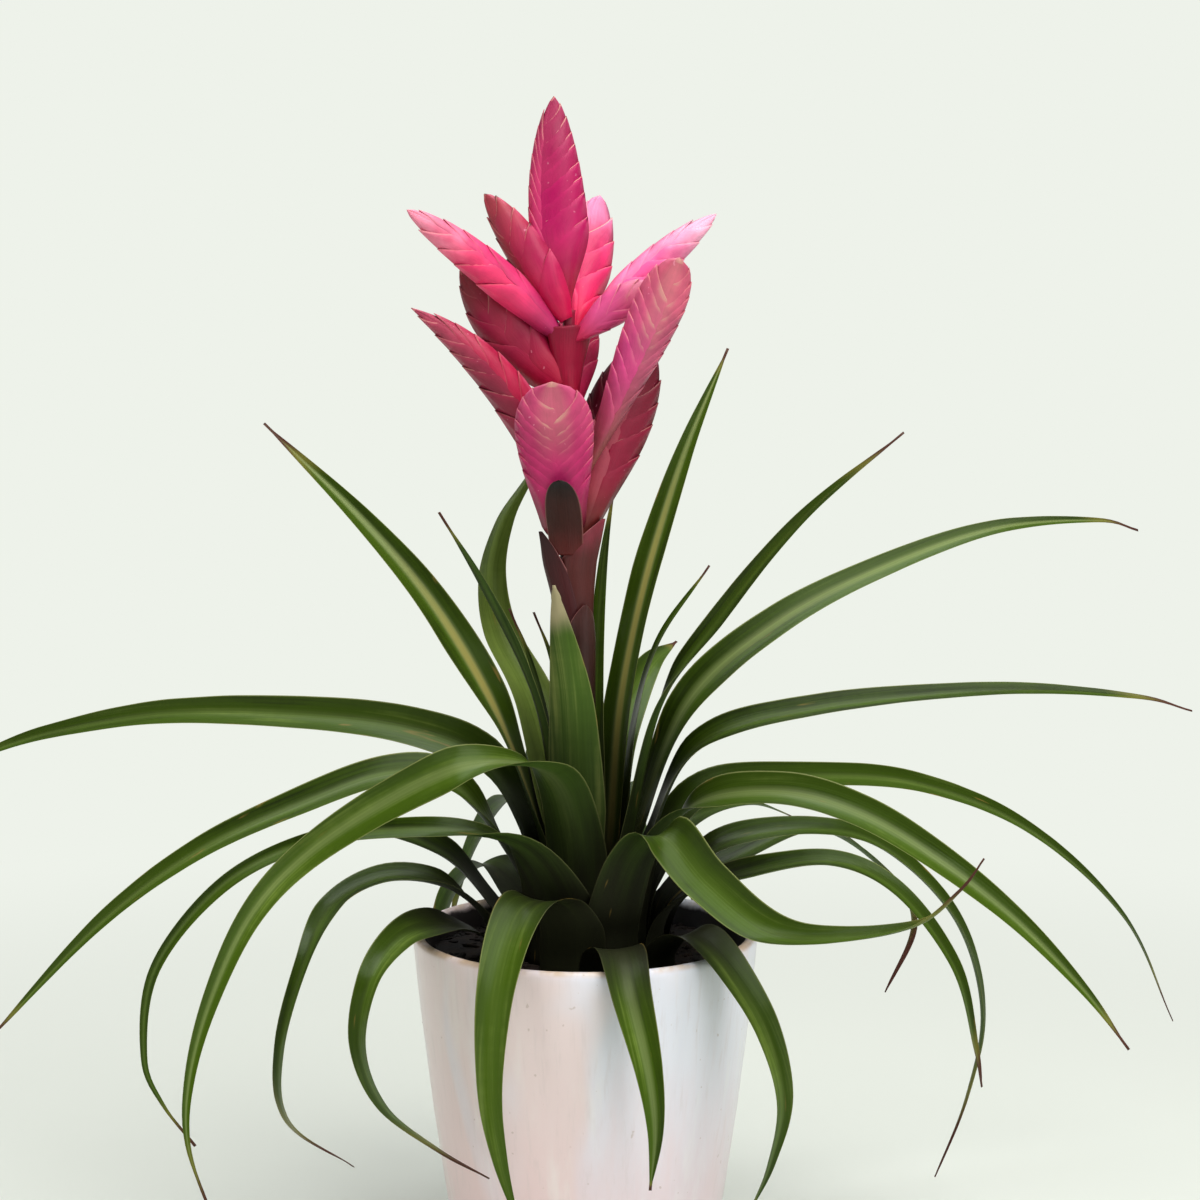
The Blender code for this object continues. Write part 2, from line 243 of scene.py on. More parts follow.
def plainMesh(name, source):
    # the object as its modifiers leave it, as a plain mesh of its own
    bpy.context.view_layer.update()
    shown = source.evaluated_get(bpy.context.evaluated_depsgraph_get())
    mesh = bpy.data.meshes.new_from_object(shown)
    mesh.name = name
    bpy.data.objects.remove(source)
    return addObject(name, mesh)


def setInputs(modifier, sizes):
    # gives the tree's named inputs their values, before it first runs; sizes of other names are passed over
    for item in modifier.node_group.interface.items_tree:
        if item.in_out == "INPUT" and item.name in sizes:
            modifier[item.identifier] = sizes[item.name]


def grow(name, points, tree, sizes):
    # runs a tree on a line of points, with its named inputs set, and keeps the plain mesh
    mesh = bpy.data.meshes.new(name + "Line")
    mesh.from_pydata(points, [(i, i + 1) for i in range(len(points) - 1)], [])
    source = addObject(name + "Line", mesh)
    modifier = source.modifiers.new("grow", "NODES")
    modifier.node_group = tree
    setInputs(modifier, sizes)
    return plainMesh(name, source)


def keep(piece, slot, *nodes):
    # the piece rides on the one body and stands for its CAD nodes
    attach(piece, "root")
    if nodes:
        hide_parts(*nodes)


def onHeading(heading, reach, height):
    return Vector((reach * cos(radians(heading)), reach * sin(radians(heading)), height))


def smoothLine(points, count):
    # evenly spaced points on a Catmull-Rom curve through the given ones
    fine = []
    spans, perSpan = len(points) - 1, 40
    for step in range(spans * perSpan + 1):
        position = step / perSpan
        index = min(int(position), spans - 1)
        u = position - index
        p1, p2 = points[index], points[index + 1]
        p0 = points[index - 1] if index > 0 else p1 * 2 - p2
        p3 = points[index + 2] if index + 2 <= spans else p2 * 2 - p1
        fine.append((2 * p1 + (p2 - p0) * u + (2 * p0 - 5 * p1 + 4 * p2 - p3) * u * u
                     + (3 * p1 - p0 - 3 * p2 + p3) * u * u * u) / 2)
    lengths = [0.0]
    for before, after in zip(fine, fine[1:]):
        lengths.append(lengths[-1] + (after - before).length)
    even = []
    index = 0
    for step in range(count + 1):
        wanted = lengths[-1] * step / count
        while index < len(fine) - 2 and lengths[index + 1] < wanted:
            index += 1
        span = lengths[index + 1] - lengths[index]
        even.append(fine[index].lerp(fine[index + 1], (wanted - lengths[index]) / span))
    return even


def newMaterial(name):
    made = bpy.data.materials.new(name)
    made.use_nodes = True
    board = Board(made.node_tree)
    return made, board, made.node_tree.nodes["Principled BSDF"]


def feed(board, shader, **values):
    # sets or links the shader's sockets; underscores stand for spaces
    for name, value in values.items():
        socket = shader.inputs[name.replace("_", " ")]
        if isinstance(value, Wire):
            board.tree.links.new(value.socket, socket)
        else:
            socket.default_value = (*value, 1) if isinstance(value, tuple) else value


leafShape = {
    "Rows": 96, "Around": 24,      # faces along a leaf and around it
    "Thickness": 1.0 * mm,         # at the middle of the blade
    "Tip width": 1.2 * mm,         # of a blunt tip
    "Narrowing": 0.9,              # power of the taper, where a leaf has none of its own
    "Gutter": 0.18,                # how far the edges rise, as a share of the width
    "Sheath length": 60 * mm,      # how fast the broad base narrows
    "Wrap": radians(44),           # half the most that a base wraps round the heart
    "Wrapped until": 5 * mm, "Free from": 26 * mm, "Rolled from": 42 * mm,   # distances out from the sheath
    "Waviness": 0.9 * mm,
    "sheathRise": (42 * mm, 0.85), # a sheath stands this tall, less this share of its radius
    "sheathFlare": 0.8 * mm,
    "firstSheath": 7.0 * mm, "sheathStep": 1.02 * mm,
    "overSoil": 0.3 * mm,
    "steps": 160,                  # along its centre line
    "heart": 180 * mm,             # up to this height the leaves get painted shade where they stand close together
    "heartReach": (30 * mm, 85 * mm),   # the painted shade is darkest this near to the plant's axis, and clear from here
}

# from the heart outwards: heading, base width, blade width, roll, path of (reach, height, swing), look of
# (stripe (which also sets a painted sheen down the channel), brown tip, tone, dry tip, and for some leaves
# their own narrowing)
leaves = [
    (135, 18, 9, -20, [(8, 190), (11, 232), (20, 262), (31, 281)], (0, 0.07, -0.4, 0)),
    (74, 22, 11, 0, [(10, 190), (13, 240), (19, 275), (29, 305), (45, 333)], (0, 0.06, -0.3, 0)),
    (150, 18, 9, -40, [(12, 190), (19, 235), (27, 262), (37, 283)], (0, 0.08, -0.5, 0)),
    (208, 22, 10, 50, [(13, 190), (19, 235), (30, 266), (48, 300), (66, 328)], (0, 0.05, -0.3, 0)),
    (38, 28, 21, 35, [(14, 190), (18, 236), (25, 270), (37, 308), (54, 349), (77, 391)], (0.9, 0.03, 0.1, 0)),
    # this leaf's high tone is partly its own paler olive, partly painted light shining through it
    (128, 30, 27, 0, [(16, 190), (37, 240), (62, 268), (68, 294), (58, 318), (42, 335), (25, 350)],
     (0, 0.04, 1.1, 0)),
    (12, 24, 13, 30, [(17, 190), (21, 236), (31, 270), (53, 302)], (0, 0.04, -0.2, 0)),
    (256, 27, 32, 0, [(16, 190), (20, 225), (26, 255), (33, 287, -5), (36, 299, -6)],
     (0, 0, 0.45, 1, 0.8)),
    (174, 32, 22, -55, [(19, 190), (37, 240), (62, 284), (92, 320), (134, 361)], (0.85, 0.07, -0.1, 0)),
    (346, 30, 17, 45, [(20, 190), (32, 245), (57, 283), (91, 325), (131, 360)], (0, 0.07, -0.2, 0)),
    (70, 28, 24, 30, [(22, 190), (42, 228), (80, 250), (120, 256)], (0, 0.05, 0.2, 0)),
    (18, 34, 19, 40, [(24, 192), (46, 244), (86, 276), (135, 298), (187, 313), (236, 315), (256, 310)],
     (0.6, 0.05, -0.1, 0)),
    (101, 28, 16, 0, [(24, 185), (45, 212), (85, 220), (130, 200), (165, 160)], (0, 0.06, 0, 0)),
    (260, 32, 21, -20, [(26, 193), (38, 218, -6), (55, 229, -15), (77, 229, -31), (101, 215, -43),
                        (129, 195, -49), (152, 174, -49), (171, 146, -47), (182, 118, -46), (185, 92, -45),
                        (176, 60, -44)], (0.45, 0.06, 0.25, 0, 1.35)),
    (2, 30, 17, 30, [(28, 190), (48, 228), (97, 243), (172, 250), (230, 247), (254, 241)],
     (0, 0.07, -0.3, 0)),
    (158, 32, 21, -45, [(27, 192), (47, 219), (84, 230), (141, 232), (205, 228), (262, 216), (300, 203),
                        (322, 193)],
     (0.1, 0.0, 0.15, 0, 0.75)),
    (192, 30, 19, -35, [(32, 182), (56, 214), (82, 219), (118, 208), (160, 190), (200, 162), (246, 116)],
     (0.15, 0.04, 0.05, 0)),
    (80, 28, 15, 0, [(34, 178), (60, 196), (105, 188), (150, 150), (175, 105)], (0, 0.08, 0, 0)),
    (326, 32, 21, 35, [(33, 186), (52, 208, 7), (90, 216, 6), (125, 211, 5), (158, 196, 5), (188, 174, 7),
                       (214, 149, 8), (232, 128, 8)], (0.4, 0.04, 0.2, 0)),
    (28, 30, 15, 42, [(36, 182), (60, 204), (107, 205), (168, 196), (230, 169), (286, 122), (317, 68)],
     (0.1, 0.06, 0.12, 0)),
    (112, 28, 15, 0, [(36, 172), (62, 190), (105, 184), (150, 150), (178, 108)], (0, 0.08, 0, 0)),
    (248, 40, 9, -45, [(38, 176), (46, 192, -12), (60, 199, -28), (85, 200, -43), (120, 195, -49),
                       (155, 180, -48), (182, 150, -47), (187, 115, -47), (180, 95, -47), (167, 76, -47)],
     (0.1, 0.05, 0.0, 0)),
    (46, 26, 12, 10, [(38, 168), (65, 186), (105, 188), (140, 176)], (0, 0.08, -0.1, 0)),
    (6, 28, 14, 20, [(40, 170), (62, 186), (98, 190), (128, 181), (158, 150), (170, 110), (164, 72),
                     (151, 37)], (0, 0.12, 0.0, 0, 0.5)),
    (290, 26, 22, 30, [(37, 166), (43, 189, 8), (56, 199, 15), (78, 183, 19), (106, 169, 22),
                       (135, 170, 24), (168, 179, 28), (184, 194, 30), (190, 206, 32)], (0, 0.1, 0.1, 0)),
    (344, 28, 13, 20, [(42, 166), (70, 178), (105, 185), (132, 174), (155, 145), (164, 112), (167, 96)],
     (0, 0.07, 0.0, 0, 0.6)),
    (92, 26, 14, 0, [(42, 162), (68, 172), (105, 160), (140, 118), (158, 75)], (0, 0.08, 0, 0)),
    (178, 28, 15, -20, [(42, 164), (60, 182), (85, 191), (112, 186), (138, 165)], (0, 0.06, -0.2, 0)),
    (26, 26, 12, 10, [(44, 162), (72, 173), (112, 182), (147, 160), (162, 135), (148, 105)],
     (0, 0.2, 0.0, 0, 0.5)),
    (66, 26, 13, 0, [(46, 158), (74, 166), (112, 150), (140, 108)], (0, 0.08, 0, 0)),
    (262, 28, 18, 0, [(43, 162), (50, 173, -8), (66, 170, -15), (87, 146, -15), (101, 112, -13),
                      (105, 85, -10), (102, 55, -6)], (0, 0.03, 0.35, 0)),
    (202, 26, 12, -15, [(47, 162), (62, 173, -6), (84, 176, -9), (108, 170, -1), (132, 158, 13),
                        (150, 126, 17), (144, 95, 15), (106, 64, 6)], (0, 0.16, -0.1, 0, 0.8)),
    (126, 26, 13, 0, [(47, 158), (74, 164), (104, 146), (122, 108), (128, 80)], (0, 0.08, 0, 0)),
    (204, 24, 13, -25, [(50, 154), (70, 159, 4), (92, 158, 12), (114, 148, 19), (121, 124, 20),
                        (108, 97, 19), (86, 76, 23), (72, 63, 34)], (0, 0.13, 0.3, 0, 0.8)),
    (315, 26, 17, 0, [(52, 155), (63, 157), (80, 147), (97, 125, 2), (105, 98, 3), (102, 72, 1),
                      (96, 52, -2)], (0.1, 0.03, 0.25, 0)),
    (281, 22, 16, 0, [(51, 153), (63, 155, 2), (79, 143, 2), (90, 115, 5), (94, 92, 6), (93, 68, 5)],
     (0.5, 0.02, 0.25, 0)),
]


def strapLeafTree():
    # a strap leaf along a centre line: it wraps the heart at its base and opens into a gutter further out
    tree, board = newTree("strapLeaf")
    curve, tube = board.start()
    side, look = board.take("Side", "Vector"), board.take("Look", "Vector")
    material = board.take("Material", "Material")
    roll, sheathRadius, sheathLength, wrap = board.takes("Roll", "Sheath radius", "Sheath length", "Wrap")
    baseWidth, bladeWidth, tipWidth = board.takes("Base width", "Blade width", "Tip width")
    thickness, gutter, waviness, narrowing = board.takes("Thickness", "Gutter", "Waviness", "Narrowing")
    wrappedUntil, freeFrom, rolledFrom = board.takes("Wrapped until", "Free from", "Rolled from")
    seed, dry, shaded = board.takes("Seed", "Dry tip", "Shaded side")

    across, face, up = board.parts(board.position())
    place = up + 0.5
    total = board.node("GeometryNodeCurveLength", None, {"Curve": curve})
    length = place * total
    centre = board.follow(curve, place)
    along = board.onward(centre)

    share = length / sheathLength
    sheath = board.maths("EXPONENT", share * share * -1.0)
    taper = board.most(1.0 - place * place, 0.0) ** narrowing
    unevenness = board.noise(board.vector(length * 18.0, seed * 3.1, 0.0), 1.0, 1.0) - 0.5
    blade = bladeWidth * (1.0 + unevenness * 0.14) * taper
    blunt = tipWidth * (1.0 + dry * board.ease(place, 1.0, 0.965) * 2.5)
    width = board.most(blade + (baseWidth - bladeWidth) * sheath, blunt)
    x, y, _ = board.parts(centre)
    reach = board.reach(x, y)
    away = reach - sheathRadius
    swing = across * board.least(width / 2.0 / reach, wrap)
    wrapped = board.turn(centre, (0, 0, 1), swing)
    inward = board.turn(board.unit(board.vector(x * -1.0, y * -1.0, 0.0)), (0, 0, 1), swing)

    flat = board.square(side, along)
    flat = board.turn(flat, along, roll * board.ease(away, wrappedUntil, rolledFrom))
    upward = board.maths("CROSS_PRODUCT", along, flat)
    free = board.ease(away, wrappedUntil, freeFrom)
    ripple = board.noise(board.vector(length * 26.0, across * 1.2 + seed * 7.3, 1.5), 1.0, 2.0) - 0.5
    rise = gutter * width * board.size(across) ** 1.7 + ripple * waviness * board.size(across) * free
    opened = centre + flat * (across * width / 2.0) + upward * rise
    outward = board.unit(upward - flat * (across * gutter * 3.4))
    ridge = 1.0 - board.size(across) ** 2.0 * 0.45
    thin = thickness * ridge * board.ease(place, 0.1, 1.0, 1.0, 0.45)
    skin = board.mixVector(free, inward, outward) * (face * thin / 2.0)

    leaf = board.store(tube, "leafPlace", board.vector(place, across, face))
    leaf = board.store(leaf, "leafSheet", board.vector(length, across * width, seed))
    leaf = board.store(leaf, "leafLook", look)
    # leafMood holds the dry tip and the side of the blade that gets painted shade
    leaf = board.store(leaf, "leafMood", board.vector(dry, across * shaded, 0.0))
    board.finish(board.move(leaf, board.mixVector(free, wrapped, opened) + skin), material)
    return tree


def leafMaterial():
    made, board, shader = newMaterial("leafStrap")
    place, across, face = board.stored("leafPlace")
    length, wide, seed = board.stored("leafSheet")
    stripe, brown, tone = board.stored("leafLook")
    dry, shaded, _ = board.stored("leafMood")
    veins = board.noise(board.vector(length * 5.0, wide * 620.0, seed), 1.0, 1.0, 0.5)
    cloudy = board.noise(board.vector(length * 9.0, wide * 60.0, seed), 1.4, 3.0, 0.55)
    bands = board.noise(board.vector(length * 260.0, wide * 14.0, seed), 1.0, 1.0)
    edge = board.size(across)

    fresh = cloudy + tone * 0.42 + (veins - 0.5) * 0.3 + (bands - 0.5) * 0.1
    upper = board.mixColour(board.ease(fresh, 0.1, 0.6), tint("1a240a"), tint("40580f"))
    upper = board.paint(upper, board.ease(fresh, 0.6, 1.1), "7e9440")
    under = board.mixColour(board.ease(fresh, 0.1, 0.75), tint("1e2c12"), tint("4a6426"))
    under = board.paint(under, board.ease(fresh, 0.65, 1.1), "98a458")
    green = board.mixColour(board.ease(face, -0.25, 0.25), under, upper)
    green = board.shade(green, board.ease(edge, 0.35, 0.9) * 0.3, 0.6)
    # painted shade: the half of each blade that lies away from the camera is darkened
    farHalfShade = board.ease(shaded, -0.1, 0.25) * board.ease(place, 0.08, 0.25)
    green = board.shade(green, farHalfShade * 0.75, 0.5)
    # a pale band down the channel: partly the leaf's own pale middle, partly a painted sheen along it
    paleMiddleAndSheen = board.ease(edge, 0.45, 0.05) * board.ease(place, 0.1, 0.3) * (0.05 + stripe * 0.6)
    green = board.paint(green, paleMiddleAndSheen * (0.6 + veins * 0.8), "93a066")
    line = board.ease(edge + (veins - 0.5) * 0.1, 0.32, 0.07) * board.ease(place, 0.10, 0.22)
    line = line * board.ease(place, stripe * 1.9 - 0.85, stripe * 1.9 - 1.15) * stripe
    green = board.paint(green, line * (0.55 + veins * 0.4), "b0a054")
    rim = board.ease(edge, 0.93, 0.99)
    green = board.paint(green, rim * 0.6, "93985c")
    # mostly painted shade where the leaves crowd round the axis, partly the sheaths' own darker brown
    x, y, z = board.parts(board.position())
    above = board.most(z - leafShape["heart"], 0.0)
    distance = board.reach(x, y, above)
    darkest, clear = leafShape["heartReach"]
    heart = board.ease(distance, clear, darkest)
    green = board.shade(green, heart * 0.65, 0.3)
    green = board.paint(green, heart * 0.35, "1d1710")
    base = board.ease(length + (cloudy - 0.5) * 0.03, 0.072, 0.028)
    green = board.paint(green, base * 0.88, "1f1c16")
    spot = board.noise(board.vector(length * 38.0, wide * 120.0, seed * 1.7), 1.0, 2.0)
    worn = board.ease(spot + rim * 0.06, 0.70, 0.77)
    green = board.paint(green, worn * 0.6, "8a7038")
    nearTip = place + (cloudy - 0.5) * 0.03 + edge * brown * 0.3
    marked = board.ease(brown, 0.0, 0.02)
    yellowing = board.ease(nearTip, 1.0 - brown * 1.7, 1.0 - brown * 0.9) * marked
    green = board.paint(green, yellowing * 0.6, "7c7434")
    browning = board.ease(nearTip, 1.0 - brown, 1.0 - brown * 0.4) * marked
    green = board.paint(green, browning, "4e2c26")
    pale = board.ease(place + (cloudy - 0.5) * 0.05, 0.86, 0.93) * dry
    green = board.paint(green, pale, "a59a78")

    rough = board.ease(face, -0.25, 0.25, 0.50, 0.34) + (cloudy - 0.5) * 0.14 + base * 0.15 + browning * 0.25
    bump = board.bump(0.28, 0.6 * mm, veins * 0.5 + bands * 0.25 + cloudy * 0.8)
    feed(board, shader, Base_Color=green, Roughness=rough, Normal=bump, Specular_IOR_Level=0.22,
         Specular_Tint=tint("c4dca4"),
         Coat_Weight=board.ease(face, -0.2, 0.2, 0.0, 0.06), Coat_Roughness=0.2)
    return made


def growLeaves():
    tree, material = strapLeafTree(), leafMaterial()
    rise, drop = leafShape["sheathRise"]
    for number, (heading, baseWidth, bladeWidth, roll, way, look) in enumerate(leaves):
        sheath = leafShape["firstSheath"] + number * leafShape["sheathStep"]
        points = [onHeading(heading, sheath, soilTop + leafShape["overSoil"]),
                  onHeading(heading, sheath + leafShape["sheathFlare"], soilTop + rise - drop * sheath)]
        for reach, height, *swing in way:
            points.append(onHeading(heading + (swing[0] if swing else 0), reach * mm, height * mm))
        sizes = {**leafShape, "Side": onHeading(heading + 90, 1, 0), "Roll": radians(roll),
                 "Sheath radius": sheath, "Base width": baseWidth * mm, "Blade width": bladeWidth * mm,
                 "Seed": float(number), "Look": look[:3], "Dry tip": float(look[3]),
                 "Shaded side": cos(radians(heading)), "Material": material}
        if len(look) > 4:
            sizes["Narrowing"] = look[4]
        piece = grow(f"leafBlade{number + 1:02d}", smoothLine(points, leafShape["steps"]), tree, sizes)
        keep(piece, "leaf", f"leaf_{number + 1:02d}")
    print("leaves grown:", len(leaves))


growLeaves()


stalkShape = {
    "Radius": 4.4 * mm,
    "Lost": 0.45, "Thin from": 250 * mm, "Thin to": 400 * mm,   # share of the radius lost between two heights
    "path": [(0, 0, 140), (0.5, 0, 190), (0, 0, 235), (-3, 0, 272), (-6.5, 0, 305), (-6.5, 0, 360),
             (-6.5, 0, 408)],
    "Around": 32, "Rows": 180,
    "Joint": 17 * mm,              # from one ring scar to the next
    "Ring": 0.35 * mm,             # how far a scar stands out
    "Bumps": 0.5 * mm,
    "steps": 60,                   # along its centre line
    "reddens": (330 * mm, 365 * mm), "brightens": (398 * mm, 402 * mm),   # heights where its colour turns
}

spikeShape = {
    "Around": 20, "Rows": 12,      # faces around a folded bract and along it
    "Sheet": 0.32 * mm,            # thickness of a bract
    "Lift": 1.0 * mm,              # how far a bract's tip stands off the ones beneath
    "Bract length": 26 * mm,
    "Opening": 13 * mm,            # length of a bract's tip over which its edges part
    "Foot reach": 0.42,            # share of a spike over which its foot's colour fades
    "seat": 0.6 * mm,              # the foot stands this far off the stalk
    "topGap": 0.3 * mm,            # from the stalk's end to the foot of the top spike
    "fewest": 6,                   # bracts on a spike
    "steps": 32,                   # along its axis
}

# node: height on the stalk (0 for the one on its end), heading it leaves by, tip, width and thickness,
# heading of its flat face, where it is widest, how pointed it is, how far its middle line lies off centre,
# bend, width of its foot, where its first bract ends, spacing, colours of foot, body, tip and narrow side,
# its look (dust, pale chevrons, pale edges), and for one spike its own foot reach
spikes = {
    "spike_top": (0, 0, (-12.5, 3, 494), 22.5, 9, 270, 0.37, 0.76, 0.6, 1.8, 0.16, 0.42, 3.0,
                  ("a00c36", "cc0c68", "b42c60", "ec3c80"), (0.35, 0.0, 0.85)),
    "spike_back_right": (396, 60, (6, 28, 455), 20, 8, 285, 0.5, 0.6, 0.4, 0, 0.25, 0.35, 4.4,
                         ("f42c5c", "f83c7c", "fc8cb8", "ff548c"), (0.0, 0.0, 0.8)),
    "spike_upper_left": (404, 255, (-41, 6, 455), 18, 8, 240, 0.36, 0.66, 0.4, -1.5, 0.6, 0.45, 3.6,
                         ("c80448", "cc2460", "b83c50", "a02c44"), (0.45, 0.0, 0.6)),
    "spike_left": (396, 205, (-71, -17, 448), 14, 8, 280, 0.42, 0.67, -0.4, -2.5, 0.55, 0.4, 4.4,
                   ("b42a64", "fa3c74", "ff94b0", "e43c78"), (0.0, 0.0, 0.35)),
    "spike_left_lower": (378, 190, (-51, 1, 424), 21.5, 8, 262, 0.45, 0.9, 0.1, 2, 0.75, 0.45, 4.4,
                         ("b81040", "a81c48", "741428", "a81c48"), (0.35, 0.0, 0.3)),
    "spike_right": (394, 350, (54, 16, 447), 14, 8, 250, 0.42, 0.72, 0.3, 2, 0.3, 0.4, 4.4,
                    ("f43c68", "ff5ca0", "ffb4d0", "fc84b4"), (0.0, 0.0, 0.45)),
    "spike_right_short": (396, 335, (27, -4, 419), 13, 7, 285, 0.55, 0.6, 0.0, 1, 0.45, 0.35, 3.0,
                          ("d42858", "f0589c", "e07c98", "ec5c98"), (0.1, 0.4, 0.6)),
    "spike_right_long": (334, 330, (38, -24, 429), 19.5, 8, 282, 0.8, 0.5, -0.2, 0, 0.14, 0.40, 3.0,
                         ("985046", "e0448c", "d8607c", "b85470"), (0.0, 0.8, 0.55), 0.66),
    "spike_far_left": (326, 200, (-70, -12, 409), 16.5, 8, 255, 0.42, 1.0, -0.3, -12, 0.7, 0.4, 4.4,
                       ("602820", "a02448", "bc4462", "d01850"), (0.25, 0.0, 0.45)),
    # spike_back's colours are lifted as painted light, against the shade the spikes in front cast on it
    "spike_back": (362, 110, (-2, 34, 412), 19, 8, 80, 0.55, 0.65, 0.0, 0, 0.45, 0.4, 3.6,
                   ("c01848", "dc3068", "d84c70", "dc3068"), (0.1, 0.4, 0.7)),
    "spike_low_back": (336, 50, (20, 20, 392), 20, 8, 60, 0.55, 0.65, 0.0, 0, 0.45, 0.4, 4.4,
                       ("600820", "5c0a22", "641228", "5c0a22"), (0.0, 0.0, 0.1)),
    "spike_front": (313, 256, (-13, -30, 380), 30, 9, 270, 0.72, 0.48, 0.0, 1, 0.55, 0.42, 2.3,
                    ("782c30", "c82a6c", "cc4876", "c82a6c"), (0.0, 0.9, 0.5)),
    "spike_low_right": (313, 345, (28, 4, 391), 23, 9, 290, 0.6, 0.65, 0.15, 1, 0.45, 0.5, 4.2,
                        ("743028", "960a38", "6c0a26", "b0485a"), (0.15, 0.0, 0.3)),
}

bractShape = {
    "Rows": 40, "Around": 36,
    "Thickness": 0.8 * mm,
    "Wrap": radians(125),          # half the most that a bract may wrap round the stalk
    "Keel": 1.2 * mm,              # how far its middle stands out towards the tip
    "Narrowest": 0.6 * mm,
    "Waviness": 0.5 * mm,
    "steps": 24,                   # along its centre line
}

# heading, heights of foot and tip, how far it stands off the stalk at the foot, lean at the tip, width,
# width of its foot, how square the tip is, how closely its edges hug the stalk, how flattened it is,
# colours of foot, body and tip
bracts = [
    (208, 262, 318, 1.2, 8.0, 38, 0.7, 2, 0.5, 0, ("2c1414", "46191c", "301414")),
    (345, 270, 323, 1.6, 9.0, 78, 0.8, 1.5, 0.85, 0, ("3c1c1a", "542422", "782c38")),
    (300, 244, 288, 0.5, 5.0, 34, 0.8, 2, 0.4, 0, ("261613", "3c221e", "4a2a28")),
    # the cup's darker tip colour is painted shade under the feet of the spikes above it
    (293, 371, 402, 0.9, 7.0, 42, 0.4, 16, 0, 0.5, ("98082c", "980a34", "840a2e")),
    (262, 308.5, 340.5, 5.6, 16.5, 17.5, 0.85, 4, 0, 0, ("581c1a", "3a1a16", "160e0c")),
]


colouredParts = ("Foot", "Body", "Tip", "Side")


def colourInputs(codes):
    return {part + " colour": tint(code) for part, code in zip(colouredParts, codes)}


def takeColours(board, count):
    return [board.take(part + " colour", "Vector") for part in colouredParts[:count]]


def storeColours(board, geometry, colours):
    for part, colour in zip(colouredParts, colours):
        geometry = board.store(geometry, part.lower() + "Colour", colour)
    return geometry


def blend(low, high, value):
    share = min(max((value - low) / (high - low), 0.0), 1.0)
    return share * share * (3 - 2 * share)


def stalkAt(height):
    # the middle of the flower stalk at a height, and its radius there
    points = [Vector(point) * mm for point in stalkShape["path"]]
    for low, high in zip(points, points[1:]):
        if height <= high.z:
            break
    lost = stalkShape["Lost"] * blend(stalkShape["Thin from"], stalkShape["Thin to"], height)
    return low.lerp(high, (height - low.z) / (high.z - low.z)), stalkShape["Radius"] * (1 - lost)


def stalkLine(low, high, steps):
    # points up the middle of the stalk between two heights in mm
    return [stalkAt((low + (high - low) * step / steps) * mm)[0] for step in range(steps + 1)]


def ringedStalkTree():
    # a tube along the stalk's line, with a scar where each old leaf stood
    tree, board = newTree("ringedStalk")
    curve, tube = board.start()
    wide, lost, thinFrom, thinTo = board.takes("Radius", "Lost", "Thin from", "Thin to")
    joint, ring, bumps = board.takes("Joint", "Ring", "Bumps")
    material = board.take("Material", "Material")

    x, y, up = board.parts(board.position())
    centre = board.follow(curve, up + 0.5)
    height = board.parts(centre)[2]
    beside = board.size(board.maths("PINGPONG", height, joint / 2.0) / joint)
    scar = board.ease(beside, 0.07, 0.0) * ring
    uneven = board.noise(board.vector(x, y, height * 60.0), 1.6, 2.0) - 0.5
    radius = wide * (1.0 - lost * board.ease(height, thinFrom, thinTo)) + scar + uneven * bumps
    stalk = board.store(tube, "stalkPlace", board.vector(x, y, height))
    board.finish(board.move(stalk, centre + board.vector(x, y, 0.0) * radius), material)
    return tree


def stalkMaterial():
    made, board, shader = newMaterial("stalkMaroon")
    x, y, height = board.stored("stalkPlace")
    streak = board.noise(board.vector(x * 9.0, y * 9.0, height * 55.0), 1.0, 3.0, 0.6)
    cloudy = board.noise(board.vector(x, y, height * 40.0), 1.2, 2.0)
    colour = board.mixColour(board.ease(streak, 0.25, 0.75), tint("3a1a1a"), tint("6e2c36"))
    colour = board.paint(colour, board.ease(cloudy, 0.5, 0.8) * 0.5, "5a5030")
    colour = board.paint(colour, board.ease(height, *stalkShape["reddens"]), "6a0c24")
    colour = board.paint(colour, board.ease(height, *stalkShape["brightens"]), "8c1034")
    bump = board.bump(0.3, 0.5 * mm, streak)
    feed(board, shader, Base_Color=colour, Roughness=0.5 + (streak - 0.5) * 0.2, Normal=bump)
    return made


def growStalk():
    line = stalkLine(stalkShape["path"][0][2], stalkShape["path"][-1][2], stalkShape["steps"])
    piece = grow("flowerStalk", line, ringedStalkTree(), {**stalkShape, "Material": stalkMaterial()})
    keep(piece, "stalk", "flower_stalk")
    print("flower stalk grown")


